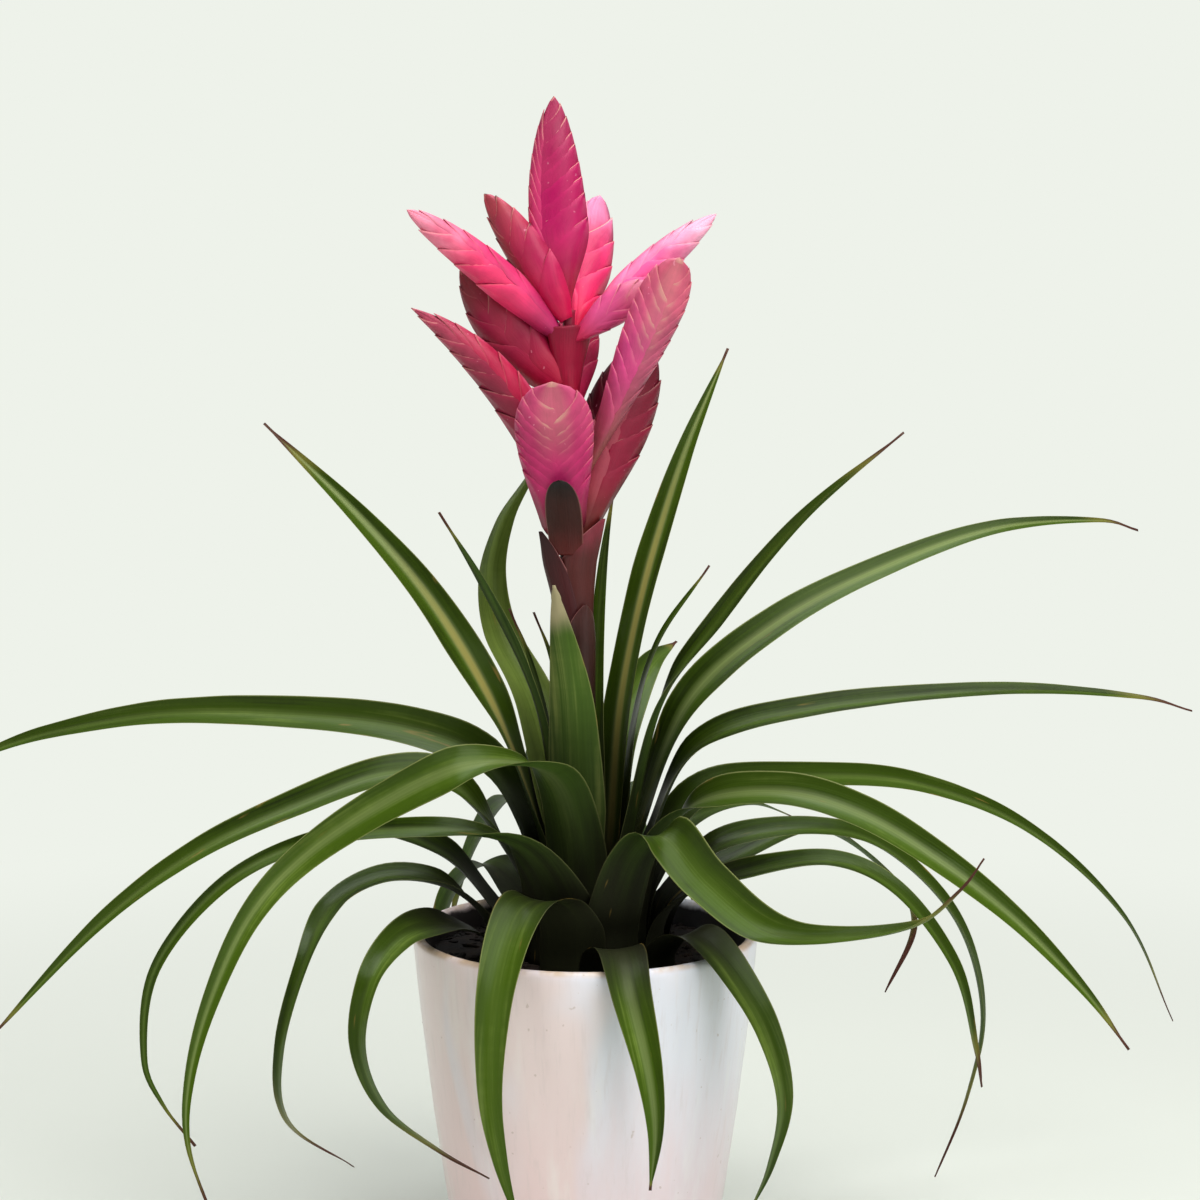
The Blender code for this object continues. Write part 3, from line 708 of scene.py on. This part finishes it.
def claspingBractTree():
    # a sheet that wraps part of the stalk and leans off it towards its tip
    tree, board = newTree("claspingBract")
    curve, tube = board.start()
    heading, seat, lean, keel = board.takes("Heading", "Seat", "Lean", "Keel")
    lowRadius, highRadius, wrap = board.takes("Low radius", "High radius", "Wrap")
    width, foot, square, hug, flat = board.takes("Width", "Foot", "Square", "Hug", "Flat")
    thickness, narrowest, waviness, seed = board.takes("Thickness", "Narrowest", "Waviness", "Seed")
    colours, material = takeColours(board, 3), board.take("Material", "Material")

    across, face, up = board.parts(board.position())
    place = up + 0.5
    centre = board.follow(curve, place)
    radius = lowRadius + (highRadius - lowRadius) * place
    narrowing = board.most(1.0 - place ** square, 0.0) ** board.ease(square, 2.0, 4.0, 0.75, 0.5)
    half = board.most(width / 2.0 * (foot + (1.0 - foot) * place) * narrowing, narrowest)
    middle = 1.0 - board.size(across)
    ripple = board.noise(board.vector(place * 5.0, across * 1.5, seed * 4.7), 1.0, 2.0) - 0.5
    reach = radius + seat + lean * place ** 1.2
    turn = board.least(half / reach, wrap)
    hugging = lean * place ** 1.2 * (1.0 - place ** 3.0) * hug * board.size(across) ** 1.5
    lifted = reach - hugging + keel * middle ** 1.5 * board.ease(place, 0.3, 1.0) + ripple * waviness * place
    thin = thickness * (0.45 + middle * 0.55) * board.ease(place, 0.5, 1.0, 1.0, 0.5)
    angle = heading - across * turn
    outward, ahead = board.onHeading(angle), board.onHeading(heading)
    press = board.maths("DOT_PRODUCT", ahead, outward) * flat * lifted * board.ease(place, 0.0, 0.5)
    surface = centre + outward * (lifted + face * thin / 2.0) - ahead * press

    bract = board.store(tube, "bractSheet", board.vector(place, across, 0.0))
    bract = board.store(bract, "bractSize", board.vector(half * across, seed, 0.0))
    board.finish(board.move(storeColours(board, bract, colours), surface), material)
    return tree


def bractMaterial():
    made, board, shader = newMaterial("bractMaroon")
    place, across, _ = board.stored("bractSheet")
    wide, seed, _ = board.stored("bractSize")
    veins = board.noise(board.vector(wide * 1900.0, place * 2.2, seed), 1.0, 2.0, 0.6)
    cloudy = board.noise(board.vector(wide * 160.0, place * 5.0, seed * 3.0), 1.0, 3.0, 0.6)
    colour = board.mixColour(board.ease(place, 0.0, 0.5), board.attribute("footColour"),
                             board.attribute("bodyColour"))
    colour = board.mixColour(board.ease(place + (cloudy - 0.5) * 0.3, 0.62, 0.98), colour,
                             board.attribute("tipColour"))
    colour = board.shade(colour, board.ease(cloudy, 0.3, 0.8) * 0.4, 1.4)
    colour = board.shade(colour, board.ease(veins, 0.45, 0.7) * 0.35, 0.55)
    # a painted highlight along the bract's edges
    colour = board.paint(colour, board.ease(board.size(across), 0.90, 0.985) * 0.4, "c07a78")
    bump = board.bump(0.3, 0.5 * mm, veins + cloudy)
    feed(board, shader, Base_Color=colour, Roughness=0.42 + (cloudy - 0.5) * 0.25, Normal=bump,
         Specular_IOR_Level=0.25)
    return made


def growBracts():
    tree, material = claspingBractTree(), bractMaterial()
    for number, row in enumerate(bracts):
        heading, low, high, seat, lean, width, foot, square, hug, flat, colours = row
        sizes = {**bractShape, **colourInputs(colours), "Heading": radians(heading), "Seat": seat * mm,
                 "Lean": lean * mm, "Low radius": stalkAt(low * mm)[1], "High radius": stalkAt(high * mm)[1],
                 "Width": width * mm, "Foot": foot, "Square": float(square), "Hug": float(hug),
                 "Flat": float(flat), "Seed": float(number), "Material": material}
        line = stalkLine(low, high, bractShape["steps"])
        piece = grow(f"stalkBract{number + 1}", line, tree, sizes)
        keep(piece, "stalk", f"bract_{number + 1}")
    print("stalk bracts grown:", len(bracts))


def flatSpikeTree():
    # two rows of folded bracts, left and right in turn, each lying over the foot of the next
    tree, board = newTree("flatSpike")
    curve, bract = board.start()
    count, seed = board.take("Count", "Int"), board.take("Seed")
    facing, look = board.take("Facing", "Vector"), board.take("Look", "Vector")
    width, thickness, widest, pointed = board.takes("Width", "Thickness", "Widest", "Pointed")
    foot, middle, firstTip, footReach = board.takes("Foot", "Middle", "First tip", "Foot reach")
    bractLength, opening, sheet, lift = board.takes("Bract length", "Opening", "Sheet", "Lift")
    colours, material = takeColours(board, 4), board.take("Material", "Material")

    total = board.node("GeometryNodeCurveLength", None, {"Curve": curve})
    rack = board.move(board.node("GeometryNodePoints", None, {"Count": count}), (0, 0, 0))
    order = board.node("GeometryNodeInputIndex")
    chance = board.node("FunctionNodeRandomValue", {"data_type": "FLOAT"},
                        {"ID": order, "Seed": board.maths("FLOOR", seed)}, 1)
    rack = board.store(rack, "bractOrder", board.vector(order, chance, 0.0))
    placed = board.node("GeometryNodeInstanceOnPoints", None, {"Points": rack, "Instance": bract})
    placed = board.node("GeometryNodeRealizeInstances", None, {"Geometry": placed})

    index, luck, _ = board.parts(board.node("GeometryNodeInputNamedAttribute", {"data_type": "FLOAT_VECTOR"},
                                            {"Name": "bractOrder"}))
    fold, face, up = board.parts(board.position())
    place = up + 0.5
    hand = board.maths("MODULO", index, 2.0) * 2.0 - 1.0
    front = fold * hand * -1.0
    last = count - 2.0
    closing = board.ease(index, last - 1.6, last - 0.1)
    outermost = board.ease(index, 2.6, 1.4)
    tipAt = firstTip + (1.0 - firstTip) * board.least(index / last, 1.0) ** 0.8
    tipAt = tipAt + (luck - 0.5) * 0.02 * (1.0 - closing)
    reach = board.least(board.most(bractLength / total, outermost), tipAt)
    station = board.least(tipAt - reach * (1.0 - place), 1.0)

    swell = foot + (1.0 - foot) * board.ease(station, 0.0, widest)
    past = board.most((station - widest) / (1.0 - widest), 0.0)
    half = board.least(swell, board.most(1.0 - past * past, 0.0) ** pointed) * width / 2.0
    half = half * board.ease(station, -0.06, 0.13, 0.35, 1.0)
    centre = board.follow(curve, station)
    along = board.onward(centre)
    outward = board.square(facing, along)
    sideways = board.maths("CROSS_PRODUCT", outward, along)

    keel = board.ease(place, 0.0, 0.5, 0.3 + outermost * 0.7, 1.0)
    closed = 1.0 - board.least(opening / (reach * total), 0.62) * (1.0 - closing * 0.9)
    opened = board.most((place - closed) / (1.0 - closed), 0.0)
    margin = opened ** 0.9 * 1.14 - 0.14
    share = keel + (board.least(margin, keel) - keel) * board.size(front)
    x = middle * half + (hand - middle) * half * share
    inside = board.least(board.size(x) / board.most(half, 0.2 * mm), 1.0)
    deep = thickness / 2.0 * board.ease(station, 1.0, 0.7) * board.ease(station, 0.0, 0.2, 0.75, 1.0)
    deep = deep * board.most(1.0 - inside * inside, 0.0) ** 0.7
    press = board.ease(board.size(front), 0.72, 1.0) * 0.55
    point = opened ** 4.0
    stand = sheet * 0.6 + lift * place * (1.0 - press) * (1.0 - closing * 0.6) * (1.0 - point * 0.75)
    turned = board.least(board.most(front / 0.22, -1.0), 1.0)
    flank = board.most(1.0 - board.size(turned), point)
    x = x + hand * lift * 0.8 * place * flank * (1.0 - closing)
    span = board.most(keel - margin, 0.0) * board.size(hand - middle) * half
    fromEdge = (1.0 - board.size(front)) * span
    narrow = board.ease(hand * middle, -0.05, 0.05)
    normal = board.unit(outward * turned + sideways * (hand * flank + 0.0001))
    surface = centre + sideways * x + outward * (turned * (deep + stand)) + normal * (face * sheet / 2.0)

    spike = board.store(placed, "bractPlace", board.vector(place, board.size(front), station))
    spike = board.store(spike, "bractSide", board.vector(narrow, luck, inside))
    spike = board.store(spike, "bractEdge", board.vector(fromEdge / mm, opened, 0.0))
    spike = board.store(spike, "spikeLook", look)
    grown = board.ease(station, footReach * 0.05, footReach)
    spike = board.store(spike, "footShare", board.vector(grown, 0.0, 0.0))
    board.finish(board.move(storeColours(board, spike, colours), surface), material)
    return tree


def spikeMaterial():
    made, board, shader = newMaterial("spikePink")
    place, fold, station = board.stored("bractPlace")
    narrow, luck, inside = board.stored("bractSide")
    fromEdge, opened, _ = board.stored("bractEdge")
    dust, chevron, paleEdge = board.stored("spikeLook")
    spot = board.position()
    cloudy = board.noise(spot, 95.0, 3.0, 0.55)
    fine = board.noise(spot, 1100.0, 3.0, 0.6)
    veins = board.noise(board.vector(fold * 30.0, place * 2.5, luck * 40.0), 1.0, 2.0, 0.6)

    body = board.mixColour(narrow * 0.85, board.attribute("bodyColour"), board.attribute("sideColour"))
    grown = board.stored("footShare")[0]
    colour = board.mixColour(grown, board.attribute("footColour"), body)
    colour = board.mixColour(board.ease(station + (cloudy - 0.5) * 0.3, 0.55, 0.95), colour,
                             board.attribute("tipColour"))
    colour = board.mixColour(board.ease(cloudy, 0.3, 0.75), colour * 0.84, colour * 1.12)
    colour = board.shade(colour, board.ease(veins, 0.4, 0.75) * 0.25, 0.68)
    # painted shade: each bract darker away from its free edge, up to where the next bract's margin lies over
    # it
    shaded = board.ease(fromEdge, 1.2, 5.0) * board.ease(station, 0.3, 0.5)
    colour = board.shade(colour, shaded * 0.35, 0.72)
    dusty = dust * board.ease(cloudy + station * 0.3 + luck * 0.15, 0.5, 0.85)
    colour = board.paint(colour, dusty * 0.5, "74443a")
    middle = board.ease(inside, 0.65, 0.2) * board.ease(station, 0.5, 0.75) * chevron
    free = board.ease(opened, 0.0, 0.12)
    band = board.ease(fromEdge + (fine - 0.5) * 0.8, 3.6, 1.0) * free
    colour = board.paint(colour, middle * (0.25 + band * 0.65), "cc9888")
    edge = board.ease(fromEdge + (fine - 0.5) * 0.3, 0.75, 0.35) * paleEdge * board.ease(station, 0.25, 0.6)
    edge = edge * free * (1.0 - narrow * 0.55)
    colour = board.paint(colour, edge * (0.35 + luck * 0.5), "f4b4a4")
    # a painted highlight on the bracts' tips along the keel
    rim = board.ease(fold, 0.25, 0.05) * board.ease(place, 0.7, 0.95)
    colour = board.paint(colour, rim * 0.35, "f07ca0")
    burnt = board.ease(place, 0.93, 0.99) * board.ease(fold, 0.5, 0.2) * board.ease(luck, 0.62, 0.66)
    burnt = burnt * board.ease(dust, 0.28, 0.34)
    colour = board.paint(colour, burnt * 0.9, "1c0f10")
    speck = board.ease(board.noise(spot, 520.0, 1.0), 0.76, 0.80)
    colour = board.paint(colour, speck * 0.35, "f0a4bc")
    bump = board.bump(0.28, 0.5 * mm, fine * 0.4 + cloudy + veins * 0.8)
    feed(board, shader, Base_Color=colour, Roughness=0.40 + (cloudy - 0.5) * 0.2 + dust * 0.1, Normal=bump,
         Specular_IOR_Level=0.28)
    return made


def spikeAxis(foot, end, face, bend):
    # a line from foot to tip that bows sideways, so that the spike curves as it grows
    along = (end - foot).normalized()
    sideways = onHeading(face, 1, 0).cross(along).normalized()
    steps = spikeShape["steps"]
    shares = [step / steps for step in range(steps + 1)]
    return [foot.lerp(end, share) + sideways * (bend * 4 * share * (1 - share)) for share in shares]


def growSpikes():
    tree, material = flatSpikeTree(), spikeMaterial()
    for number, (node, row) in enumerate(spikes.items()):
        height, heading, tip, width, thickness, face, widest, pointed, middle, *others = row
        bend, footWidth, firstTip, spacing, colours, look, *footReach = others
        end = Vector(tip) * mm
        if height:
            centre, radius = stalkAt(height * mm)
            foot = centre + onHeading(heading, radius + spikeShape["seat"], 0)
        else:
            foot = Vector(stalkShape["path"][-1]) * mm + Vector((0, 0, spikeShape["topGap"]))
        length = (end - foot).length
        count = max(round(length * (1 - firstTip) / (spacing * mm)), spikeShape["fewest"])
        first, *rest = node.split("_")
        sizes = {**spikeShape, **colourInputs(colours), "Count": count, "Facing": onHeading(face, 1, 0),
                 "Width": width * mm, "Thickness": thickness * mm, "Widest": widest, "Pointed": pointed,
                 "Foot": footWidth, "Middle": middle, "First tip": firstTip, "Seed": float(number),
                 "Look": look, "Material": material}
        if footReach:
            sizes["Foot reach"] = footReach[0]
        name = first + "".join(word.capitalize() for word in rest)
        piece = grow(name, spikeAxis(foot, end, face, bend * mm), tree, sizes)
        keep(piece, "spike", node)
    print("flower spikes grown:", len(spikes))


growStalk()
growBracts()
growSpikes()


potShape = {
    "profile": [(0, 53), (32, 57.8), (76, 64.2), (119, 69.4), (144, 71.8)],   # height, outer radius in mm
    "rimRadius": 72 * mm, "wall": 5 * mm, "floor": 9 * mm,
    "lip": [(5.0, 3.4), (4.75, 2.0), (4.1, 0.9), (3.1, 0.2), (2.1, 0.0), (1.1, 0.3), (0.35, 1.1), (0.05, 2.3),
            (0.0, 3.6)],           # in from the rim, down from the top
    "heel": [(0.0, 2.6), (0.5, 1.1), (1.4, 0.25), (2.6, 0.0)],   # in from the outer wall, up from the table
    "corner": 3 * mm,              # from the floor's edge up to the wall, and in
    "shoulder": 11 * mm, "levels": 10,   # the wall is straight to this far below the top, in so many steps
    "steps": 192,
    "stain": (0.8 * mm, 3.4 * mm),         # down from the rim, where the stain of the soil begins and is full
    "stainedFace": (0.6 * mm, 1.4 * mm),   # out from the inner wall, where it is full and where it ends
    "stainFoot": (10 * mm, 6 * mm),        # below the top of the soil, where it begins and is full
    "worn": (0.4 * mm, 2.6 * mm),          # down from the rim, where the glaze is worn and where it is whole
}

soilShape = {
    "gap": 0.3 * mm,               # to the pot's wall
    "rings": 36, "steps": 96,
    "sides": (0.75, 0.5, 0.25),    # levels down its side, as shares of its height
    "Bumps": 2.2 * mm,
    "Density": 26000.0,            # bark chips per square metre
    "Smallest": 0.9 * mm, "Largest": 2.6 * mm, "Seed": 4,
}


def outerRadius(height):
    # the pot's outer radius at a height
    stations = [(h * mm, r * mm) for h, r in potShape["profile"]] + [(potTop, potShape["rimRadius"])]
    for (low, lowRadius), (high, highRadius) in zip(stations, stations[1:]):
        if height <= high:
            break
    return lowRadius + (highRadius - lowRadius) * (height - low) / (high - low)


def turnedShape(name, profile, steps):
    # a turned shape from (radius, height) points that run down its outer side
    mesh = bpy.data.meshes.new(name)
    mesh.from_pydata([(radius, 0, height) for radius, height in profile],
                     [(i, i + 1) for i in range(len(profile) - 1)], [])
    made = addObject(name, mesh)
    screw = made.modifiers.new("turn", "SCREW")
    screw.steps = screw.render_steps = steps
    screw.use_merge_vertices, screw.merge_threshold = True, 0.00001
    screw.use_smooth_shade = True
    return made


def glazeMaterial():
    # milky glaze brushed on in upright strokes, rosy low down, and with painted light that leaves it cooler
    # and brighter to the right
    made, board, shader = newMaterial("milkyGlaze")
    spot = board.position()
    x, y, z = board.parts(spot)
    stroke = board.noise(board.vector(x, y, z * 0.16), 70.0, 4.0, 0.6)
    wash = board.noise(board.vector(x, y, z * 0.35), 24.0, 2.0, 0.5, 0.6)
    brush = board.noise(board.vector(x, y, z * 0.05), 420.0, 3.0, 0.6)
    # the glaze's own cloudy wash, plus painted light: cooler and brighter to the right, warmer and dimmer to
    # the left
    washAndRightLight = board.ease(wash + x * 2.2, 0.40, 0.62)
    colour = board.mixColour(washAndRightLight, tint("f3e0df"), tint("eef0fb"))
    low = board.ease(z / potTop + (stroke - 0.5) * 0.55, 0.85, 0.15)
    colour = board.paint(colour, low * 0.7, "efcfd0")
    colour = board.paint(colour, board.ease(stroke, 0.52, 0.72) * 0.4, "f8f2ee")
    colour = board.paint(colour, board.ease(brush, 0.5, 0.75) * 0.2, "d2c4c2")
    worn = board.noise(board.vector(x, y, 0.0), 60.0, 3.0, 0.6)
    least, most = potShape["worn"]
    rim = board.ease(z, potTop - most, potTop - least)
    colour = board.paint(colour, rim * board.ease(worn, 0.38, 0.6) * 0.7, "c9a777")
    speck = board.ease(board.noise(spot, 330.0, 1.0), 0.745, 0.79)
    colour = board.paint(colour, speck * 0.35, "a98f7c")
    reach = board.reach(x, y)
    inner = potShape["rimRadius"] - potShape["wall"]
    full, ends = potShape["stainedFace"]
    inside = board.ease(reach, inner + ends, inner + full)
    begins, full = potShape["stainFoot"]
    inside = inside * board.ease(z, soilTop - begins, soilTop - full)
    begins, full = potShape["stain"]
    stained = inside * board.ease(z + (stroke - 0.5) * 6 * mm, potTop - begins, potTop - full)
    colour = board.paint(colour, stained * 0.95, "17110f")
    bump = board.bump(0.16, 0.6 * mm, stroke + brush * 0.35)
    feed(board, shader, Base_Color=colour, Roughness=0.26 + stroke * 0.16 + rim * 0.12 + stained * 0.4,
         Normal=bump, Specular_IOR_Level=0.5, Coat_Weight=(0.35 - rim * 0.25) * (1.0 - stained),
         Coat_Roughness=0.12)
    return made


def makePot():
    wall, floor, rim, corner = (potShape[part] for part in ("wall", "floor", "rimRadius", "corner"))
    low, high, steps = floor + corner, potTop - potShape["shoulder"], potShape["levels"]
    levels = [low + (high - low) * step / steps for step in range(steps + 1)]
    inner = [(0, floor), (outerRadius(floor) - wall - corner, floor)]
    inner += [(outerRadius(level) - wall, level) for level in levels]
    lip = [(rim - inset * mm, potTop - drop * mm) for inset, drop in potShape["lip"]]
    outer = [(outerRadius(level), level) for level in levels[::-1]]
    heel = [(outerRadius(rise * mm) - inset * mm, rise * mm) for inset, rise in potShape["heel"]]
    pot = turnedShape("whitePot", inner + lip + outer + heel + [(0, 0)], potShape["steps"])
    pot = plainMesh("whitePot", pot)
    pot.data.materials.append(glazeMaterial())
    keep(pot, "pot_glaze", "pot")
    print("pot turned")


def soilTree():
    # rough ground with bark chips strewn over its top
    tree, board = newTree("barkSoil")
    ground = board.take("Ground", "Geometry")
    level, bumps, radius = board.takes("Level", "Bumps", "Radius")
    density, small, large = board.takes("Density", "Smallest", "Largest")
    seed, material = board.take("Seed", "Int"), board.take("Material", "Material")

    place = board.position()
    x, y, z = board.parts(place)
    reach = board.reach(x, y)
    top = board.ease(z, level - 0.6 * mm, level - 0.2 * mm)
    inner = board.ease(reach, radius, radius * 0.9)
    rough = board.noise(place, 70.0, 4.0, 0.6) + board.noise(place, 320.0, 2.0, 0.6) * 0.35 - 0.62
    heave = board.vector(0.0, 0.0, rough * bumps * 2.0 * top * inner)
    ground = board.node("GeometryNodeSetPosition", None, {"Geometry": ground, "Offset": heave})
    onTop = board.maths("GREATER_THAN", top, 0.5)
    spread = board.node("GeometryNodeDistributePointsOnFaces", {"distribute_method": "RANDOM"},
                        {"Mesh": ground, "Selection": onTop, "Density": density, "Seed": seed})
    chip = board.node("GeometryNodeMeshIcoSphere", None, {"Radius": 1.0, "Subdivisions": 2})
    spin = board.node("FunctionNodeRandomValue", {"data_type": "FLOAT_VECTOR"},
                      {"Min": (-0.5, -0.5, 0.0), "Max": (0.5, 0.5, 6.28), "Seed": seed})
    size = board.node("FunctionNodeRandomValue", {"data_type": "FLOAT"},
                      {2: small, 3: large, "Seed": seed}, 1)
    stretch = board.node("FunctionNodeRandomValue", {"data_type": "FLOAT_VECTOR"},
                         {"Min": (0.9, 0.5, 0.3), "Max": (1.8, 0.9, 0.6), "Seed": seed})
    chips = board.node("GeometryNodeInstanceOnPoints", None,
                       {"Points": spread, "Instance": chip, "Rotation": spin, "Scale": stretch * size})
    everything = board.node("GeometryNodeJoinGeometry", None, None)
    for part in (chips, ground):
        tree.links.new(part.socket, everything.socket.node.inputs[0])
    board.finish(everything, material)
    return tree


def soilMaterial():
    made, board, shader = newMaterial("darkBark")
    spot = board.position()
    coarse = board.noise(spot, 120.0, 4.0, 0.6)
    fine = board.noise(spot, 900.0, 3.0, 0.65)
    colour = board.mixColour(board.ease(coarse, 0.3, 0.75), tint("0d0b0b"), tint("2c2019"))
    colour = board.paint(colour, board.ease(fine, 0.6, 0.75) * 0.4, "4a3626")
    bump = board.bump(0.7, 0.6 * mm, fine + coarse)
    feed(board, shader, Base_Color=colour, Roughness=0.82 + (coarse - 0.5) * 0.2, Normal=bump,
         Specular_IOR_Level=0.25)
    return made


def makeSoil():
    gap, floor = soilShape["gap"], potShape["floor"] + soilShape["gap"]
    edge = outerRadius(soilTop) - potShape["wall"] - gap
    rings = soilShape["rings"]
    top = [(edge * step / rings, soilTop) for step in range(rings + 1)]
    side = [(outerRadius(level) - potShape["wall"] - gap, level)
            for level in (*(soilTop * share for share in soilShape["sides"]), floor)]
    ground = turnedShape("darkSoil", top + side + [(0, floor)], soilShape["steps"])
    modifier = ground.modifiers.new("strew", "NODES")
    modifier.node_group = soilTree()
    setInputs(modifier, {**soilShape, "Level": soilTop, "Radius": edge, "Material": soilMaterial()})
    keep(plainMesh("darkSoil", ground), "soil", "soil")
    print("soil strewn")


makePot()
makeSoil()


daylight = {
    "key": {"place": (0.55, -0.75, 1.55), "size": 1.1, "power": 21, "colour": (1.0, 0.99, 0.97)},
    "top": {"place": (-0.15, 0.25, 1.7), "size": 1.3, "power": 19, "colour": (0.96, 0.98, 1.0)},
    "left": {"place": (-1.2, -0.9, 0.6), "size": 1.2, "power": 3.5, "colour": (1.0, 0.95, 0.92)},
    "right": {"place": (0.95, -1.3, 0.5), "size": 1.0, "power": 5, "colour": (0.97, 0.98, 1.0)},
}

backdrop = {
    "pale": "eef2ea",              # the colour that floor and sky meet in
    "floor": "dfe3da", "sky": "d6d6d0", "skyStrength": 0.24,
    "fade": (0.22, 0.9),           # distances over which the floor's shading fades into the pale colour
    "left": -9, "right": 9, "near": -5, "far": 60,   # edges of the floor
    "aim": (0, 0, 0.25),           # the lamps point here
}

view = {"lens": 80.52, "sensor": 36, "place": (0.00615, -1.100, 0.424), "tilt": radians(83)}


def seenBy(board, *kinds):
    # one for rays of these kinds and nought for others
    rays = board.node("ShaderNodeLightPath").socket.node.outputs
    seen, *others = [Wire(board, rays[f"Is {kind} Ray"]) for kind in kinds]
    for other in others:
        seen = board.most(seen, other)
    return seen


def addLights():
    for name, lamp in daylight.items():
        light = bpy.data.lights.new(name + "Light", "AREA")
        light.size, light.energy, light.color = lamp["size"], lamp["power"], lamp["colour"]
        made = addObject(name + "Light", light)
        made.location = lamp["place"]
        made.rotation_euler = (Vector(backdrop["aim"]) - made.location).to_track_quat("-Z", "Y").to_euler()
    world = bpy.data.worlds.new("softSky")
    bpy.context.scene.world = world
    world.use_nodes = True
    board = Board(world.node_tree)
    seen = seenBy(board, "Camera", "Transmission")
    feed(board, world.node_tree.nodes["Background"],
         Color=board.mixColour(seen, tint(backdrop["sky"]), tint(backdrop["pale"])),
         Strength=board.ease(seen, 0.0, 1.0, backdrop["skyStrength"], 1.0))


def addFloor():
    mesh = bpy.data.meshes.new("floor")
    left, right, front, back = (backdrop[edge] for edge in ("left", "right", "near", "far"))
    corners = [(left, front, 0), (right, front, 0), (right, back, 0), (left, back, 0)]
    mesh.from_pydata(corners, [], [(0, 1, 2, 3)])
    floor = addObject("floor", mesh)
    material, board, shader = newMaterial("paleFloor")
    feed(board, shader, Base_Color=tint(backdrop["floor"]), Roughness=0.8, Specular_IOR_Level=0.2)
    spot = board.position()
    distance = board.maths("LENGTH", spot)
    glow = board.node("ShaderNodeEmission", None, {"Color": (*tint(backdrop["pale"]), 1), "Strength": 1.0})
    near, far = backdrop["fade"]
    away = board.ease(distance, near, far) * seenBy(board, "Camera", "Glossy", "Transmission")
    mixed = board.node("ShaderNodeMixShader", None, {0: away, 2: glow})
    tree = material.node_tree
    tree.links.new(shader.outputs[0], mixed.socket.node.inputs[1])
    tree.links.new(mixed.socket, tree.nodes["Material Output"].inputs["Surface"])
    mesh.materials.append(material)


def addCamera():
    camera = bpy.data.cameras.new("camera")
    camera.lens, camera.sensor_width = view["lens"], view["sensor"]
    made = addObject("camera", camera)
    made.location, made.rotation_euler = view["place"], (view["tilt"], 0, 0)
    bpy.context.scene.camera = made
    bpy.context.scene.view_settings.view_transform = "Standard"


addLights()
addFloor()
addCamera()
print("stage set")

bpy.context.view_layer.update()
